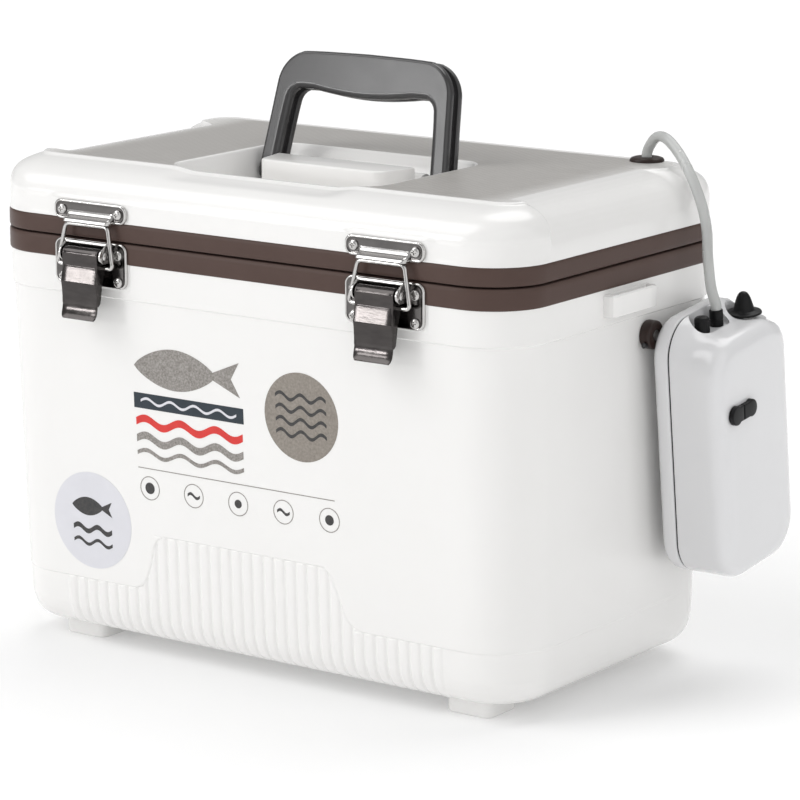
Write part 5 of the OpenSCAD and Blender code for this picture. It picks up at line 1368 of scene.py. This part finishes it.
def pocket_walls2(t):
    V_, F_ = revolve([(12.4, 62.6), (12.4, 72.4)], 40)
    V_ = np.array(V_) + np.array([24.5, 22.5, 0])
    for v in V_:
        if v[2] > 70:
            v[2] = max(63.2, 75 - float(top_drop(v[0], v[1], 75)) - (22 - math.sqrt(max(0.0, 484 - max(0.0, v[1] - 17) ** 2))) - 1.0)
    t.add(V_, F_)


try:
    cut(front, [pump_tool(pocket_walls), pump_tool(pocket_walls2)], "UNION")
    cut(front, [pump_tool(recess_tools), pump_tool(recess_round), pump_tool(socket_hole)], "DIFFERENCE", 0.0, sharp=35)
except Exception as e:
    print("pump cut", e)
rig.ride(front, "box")
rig.replaces(front, "pump_housing")
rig.slot(front, "pump_plastic")


def local(name, fn, mats, body, slot, nodes, sharp=40):
    t = Geo()
    fn(t)
    q = Geo()
    q.V = [tuple(v) for v in pump_map(np.array(t.V))]
    q.F, q.M = t.F, t.M
    return q.obj(name, mats, body, slot, nodes, sharp)


def turn_z(t, prof, x, y, n=40, m=0):
    V_, F_ = revolve(prof, n)
    t.add(np.array(V_) + np.array([x, y, 0]), F_, m)


# outlet cap: knurled, domed
def f_cap(t):
    n = 60
    prof = [(3.4, 65.2), (4.1, 65.3), (4.4, 65.8), (4.4, 67.0), (4.15, 67.3), (4.15, 72.4), (4.3, 72.8), (4.1, 73.7), (3.3, 74.4), (1.8, 74.8), (0.01, 74.9)]
    rings_ = []
    for r_k, z in prof:
        kn = 0.14 if 67.2 < z < 72.6 else 0
        rings_.append([((r_k + kn * math.cos(20 * 2 * math.pi * i / n)) * math.cos(2 * math.pi * i / n) + 19, (r_k + kn * math.cos(20 * 2 * math.pi * i / n)) * math.sin(2 * math.pi * i / n) - 14, z) for i in range(n)])
    sk(t, rings_)


local("outlet_cap_moulded", f_cap, ["rubber"], "outlet_plug", "black_rubber", ("outlet_cap",))


def f_collar(t):
    turn_z(t, [(3.15, 74.4), (3.6, 74.35), (3.9, 74.0), (3.9, 69.2), (3.7, 69.0), (3.7, 68.4), (3.9, 68.2), (3.9, 65.1), (3.1, 65.1), (3.1, 72.0)], 19, 1.5)
    turn_z(t, [(3.1, 72.0), (0.01, 72.0)], 19, 1.5)


local("line_collar_turned", f_collar, ["rubber"], "box", "black_rubber", ("line_collar",))


# rubber boot over the toggle
def f_boot(t):
    prof = [(3.0, 66.6), (9.6, 66.6), (10.15, 66.9), (10.2, 67.4), (9.9, 68.0), (8.8, 68.35), (7.0, 68.6), (6.1, 69.2), (5.7, 70.4), (5.3, 71.8), (4.9, 73.2), (4.4, 74.8), (3.8, 76.4), (3.2, 77.6), (2.4, 78.7), (1.4, 79.35), (0.01, 79.6)]
    turn_z(t, prof, 24.5, 22.5, 48)


boot = local("switch_boot_moulded", f_boot, ["rubber"], None, "black_rubber", ("switch_boot",))
p0 = W(pump_map(np.array([[24.5, 22.5, 66.8]]))[0])
p1 = W(pump_map(np.array([[24.5, 22.5, 73.0]]))[0])
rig.blend(boot, "box", "toggle", start=p0, end=p1)


# power socket cover, its button and hinge strip
def lobe(t, yc, r, tail, x0, x1, m=0, zc=23.5):
    """round lobe with a strip 8.8 high running to y = tail"""
    half = 4.4
    a0 = math.asin(half / r)
    side = 1 if tail > yc else -1
    P = []
    if side > 0:
        P = [(tail, -half), (tail, half)] + [(yc + r * math.cos(a), r * math.sin(a)) for a in np.linspace(a0, 2 * math.pi - a0, 30)]
    else:
        P = [(tail, half), (tail, -half)] + [(yc + r * math.cos(a), r * math.sin(a)) for a in np.linspace(math.pi + a0, 3 * math.pi - a0, 30)]
    P = np.array(P)
    area = 0.5 * np.sum(P[:, 0] * np.roll(P[:, 1], -1) - np.roll(P[:, 0], -1) * P[:, 1])
    if area < 0:
        P = P[::-1]
    slab(t, P, x0, x1, 0.1, 0.7, 4, to=lambda V: np.stack([V[:, 2], V[:, 0], V[:, 1] + zc], 1), m=m)


def f_button(t):
    lobe(t, -25.5, 5.5, -18.95, 44.1, 46.9)
    turn = [(2.6, 0), (2.6, 0.3), (2.2, 0.5), (0.01, 0.5)]
    V_, F_ = revolve(turn, 28)
    V_ = np.array(V_)
    t.add(np.stack([46.5 + V_[:, 2] * 0.7, -25.5 + V_[:, 0], 23.5 + V_[:, 1]], 1), F_)


def f_cover(t):
    lobe(t, -9.5, 4.95, -18.25, 44.15, 46.9)
    V_, F_ = revolve([(2.4, 0), (2.5, 0.3), (2.5, 2.2)], 28)
    V_ = np.array(V_)
    t.add(np.stack([42.4 + V_[:, 2], -9.5 + V_[:, 0], 23.5 + V_[:, 1]], 1), F_)


local("power_cover_button", f_button, ["rubber"], "box", "black_rubber", ("dc_button",))
local("power_cover_flap", f_cover, ["rubber"], "power_flap", "black_rubber", ("dc_cover",))


# ------------------------------------------------------------------ generic badges on the front (plain shapes, no lettering)
def wall_front(x, z, out=0.1):
    return (x, -(wall_y(z) + out), z)


def badge(name, polys, mats):
    """thin printed films that follow the leaning front wall: each poly is (outline, lift, material)"""
    t = Geo()
    for P, lift, m in polys:
        P = np.asarray(P, float)
        P0 = [wall_front(x, z, 0.02) for x, z in P]
        P1 = [wall_front(x, z, lift) for x, z in P]
        V_, F_ = skin([P0, P1])
        t.add(V_, F_, m)
    return t.obj(name, mats, "box", "white_plastic", (), 30)


def disc(cx, cz, r, n=64):
    return [(cx + r * math.cos(a), cz + r * math.sin(a)) for a in np.linspace(0, 2 * math.pi, n, endpoint=False)]


def ring_band(cx, cz, r0, r1, a0=0.0, a1=360.0, n=40):
    A = np.radians(np.linspace(a0, a1, n))
    return [(cx + r1 * math.cos(a), cz + r1 * math.sin(a)) for a in A] + [(cx + r0 * math.cos(a), cz + r0 * math.sin(a)) for a in A[::-1]]


def wave_band(x0, x1, z, amp, thick, waves, n=80):
    X_ = np.linspace(x0, x1, n)
    Z_ = z + amp * np.sin((X_ - x0) / (x1 - x0) * 2 * math.pi * waves)
    return [(a, b + thick / 2) for a, b in zip(X_, Z_)][::-1] + [(a, b - thick / 2) for a, b in zip(X_, Z_)]


def bar(x0, x1, z0, z1):
    return [(x0, z0), (x1, z0), (x1, z1), (x0, z1)]


def fish(cx, cz, L, H):
    """side view: pointed body and forked tail"""
    t = np.linspace(0, 1, 22)
    up = [(cx - L * (0.5 - a * 0.78), cz + H * 0.5 * math.sin(math.pi * a) ** 0.75) for a in t]
    lo = [(cx - L * (0.5 - a * 0.78), cz - H * 0.5 * math.sin(math.pi * a) ** 0.75) for a in t]
    tail = [(cx + L * 0.5, cz + H * 0.42), (cx + L * 0.42, cz), (cx + L * 0.5, cz - H * 0.42)]
    return lo[:-1] + [(cx + L * 0.25, cz - H * 0.09)] + tail[::-1] + [(cx + L * 0.25, cz + H * 0.09)] + up[1:-1][::-1]


polys = [(fish(-38, 176, 76, 24), 0.16, 3), (bar(-77, 2, 151, 160), 0.14, 0), (wave_band(-72, -3, 155.5, 1.6, 1.5, 4), 0.24, 1),
         (wave_band(-76, 1, 143, 2.2, 4.4, 3), 0.16, 2), (wave_band(-76, 1, 133, 2.2, 4.4, 3), 0.16, 3), (wave_band(-76, 1, 124.5, 2.0, 2.4, 3), 0.16, 3),
         (bar(-76, 64, 115.4, 115.9), 0.12, 3)]
for i in range(5):
    cx = -68 + 32 * i
    polys.append((ring_band(cx, 104, 6.6, 7.1), 0.12, 3))
    polys.append((disc(cx, 104, 3.4 - 0.45 * (i % 3), 28) if i % 2 == 0 else wave_band(cx - 4.4, cx + 4.4, 104, 1.2, 1.7, 1, 24), 0.14, 4))
badge("front_artwork", polys, ["navy", "disc_pale", "red", "worn", "ink"])
polys = [(disc(42.6, 160.4, 25.4), 0.14, 0)] + [(wave_band(25, 60, 160.4 + d, 1.8, 2.0, 2.5), 0.24, 1) for d in (11, 4, -3, -10)]
badge("round_artwork", polys, ["disc", "ink"])
polys = [(disc(-112.3, 78.4, 29.0), 0.14, 0), (fish(-112.3, 86.5, 30, 11), 0.24, 1), (wave_band(-127, -98, 73, 1.6, 3.0, 2), 0.24, 1), (wave_band(-127, -98, 65, 1.6, 2.0, 2), 0.24, 1)]
badge("low_artwork", polys, ["disc_pale", "ink"])

# ------------------------------------------------------------------ carried-over CAD pieces get their own finishes
keep = {
    "body_foam": "foam", "lid_foam": "foam", "handle_pins": "steel", "peg_screws": "screw", "pump_rail": "black", "pump_clip": "steel",
    "pump_screws": "screw", "pump_chassis": "black", "batteries": "cell", "battery_contacts": "brass", "motor": "motor", "motor_crank": "steel",
    "pump_yoke": "pale", "diaphragm": "rubber", "pump_head": "black", "internal_hose": "line", "outlet_manifold": "black", "switch_body": "black",
    "switch_nut": "steel", "switch_lever": "steel", "dc_socket": "black", "air_stone": "stone",
}
for node, m in keep.items():
    me = frame["nodes"][node].data
    me.materials.clear()
    me.materials.append(MAT[m])

# ------------------------------------------------------------------ floor and light
fm = bpy.data.materials.new("floor_pale")
fm.use_nodes = True
fb = fm.node_tree.nodes["Principled BSDF"]
fb.inputs["Base Color"].default_value = (0.84, 0.84, 0.84, 1)
fb.inputs["Roughness"].default_value = 0.9
fb.inputs["Specular IOR Level"].default_value = 0.1
fb.inputs["Emission Color"].default_value = (1, 1, 1, 1)
fb.inputs["Emission Strength"].default_value = 0.17
fme = bpy.data.meshes.new("floor")
fme.from_pydata([(-9, -9, 0), (9, -9, 0), (9, 14, 0), (-9, 14, 0)], [], [(0, 1, 2, 3)])
fme.materials.append(fm)
floor = bpy.data.objects.new("floor", fme)
scene.collection.objects.link(floor)
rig.stage(floor)

world = bpy.data.worlds.new("studio")
scene.world = world
world.use_nodes = True
nt = world.node_tree
bg = nt.nodes["Background"]
tc = nt.nodes.new("ShaderNodeTexCoord")
sep = nt.nodes.new("ShaderNodeSeparateXYZ")
nt.links.new(tc.outputs["Generated"], sep.inputs["Vector"])
# bright towards the horizon in front and on the right, dim overhead and behind
dot = nt.nodes.new("ShaderNodeVectorMath")
dot.operation = "DOT_PRODUCT"
dot.inputs[1].default_value = (0.42, -0.9, 0.0)
nt.links.new(tc.outputs["Generated"], dot.inputs[0])
mr = nt.nodes.new("ShaderNodeMapRange")
mr.inputs["From Min"].default_value = -0.2
mr.inputs["From Max"].default_value = 0.75
mr.inputs["To Min"].default_value = 0.5
mr.inputs["To Max"].default_value = 0.72
nt.links.new(dot.outputs["Value"], mr.inputs["Value"])
mix = nt.nodes.new("ShaderNodeMix")
mix.data_type = "RGBA"
mix.inputs["A"].default_value = (0.0, 0.0, 0.0, 1)
mix.inputs["B"].default_value = (1.0, 1.0, 1.0, 1)
nt.links.new(mr.outputs["Result"], mix.inputs["Factor"])
nt.links.new(mix.outputs["Result"], bg.inputs["Color"])
bg.inputs["Strength"].default_value = 0.75


def area(name, loc, target, size, power, size_y=None):
    d = bpy.data.lights.new(name, "AREA")
    d.energy = power
    d.shape = "RECTANGLE"
    d.size = size
    d.size_y = size_y or size
    o = bpy.data.objects.new(name, d)
    scene.collection.objects.link(o)
    o.location = loc
    o.rotation_mode = "QUATERNION"
    o.rotation_quaternion = (Vector(target) - Vector(loc)).to_track_quat("-Z", "Y")
    return o


def sun(name, energy, angle, towards):
    d = bpy.data.lights.new(name, "SUN")
    d.energy = energy
    d.angle = math.radians(angle)
    o = bpy.data.objects.new(name, d)
    scene.collection.objects.link(o)
    o.rotation_mode = "QUATERNION"
    o.rotation_quaternion = (-Vector(towards)).to_track_quat("-Z", "Y")


sun("key", 0.95, 40, (-0.5, -0.52, 0.68))
sun("fill", 0.75, 80, (0.92, -0.28, 0.27))
sun("top", 1.1, 46, (-0.05, 0.42, 0.9))
# two soft boxes on the left that the bright metal and the bow reflect
cdir = Vector((-0.62, -0.775, 0.12)).normalized()
udir = cdir.cross(Vector((0, 0, 1))).normalized()
wdir = udir.cross(cdir)


def box_light(name, u0, u1, w0, w1, radiance):
    at = cdir * 3.0 + udir * (u0 + u1) / 2 + wdir * (w0 + w1) / 2
    w_, h_ = u1 - u0, w1 - w0
    area(name, at, at - cdir, w_, math.pi * w_ * h_ * radiance, h_)


box_light("soft_bow", -0.46, 0.01, 0.56, 0.9, 8.0)
box_light("strip_metal", -0.47, 0.2, 0.1, 0.27, 22.0)

# ------------------------------------------------------------------ close
lo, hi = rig.bounds()
with open("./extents.json", "w") as f:
    json.dump({"cad": [list(cad_lo), list(cad_hi)], "visual": [list(lo), list(hi)]}, f)
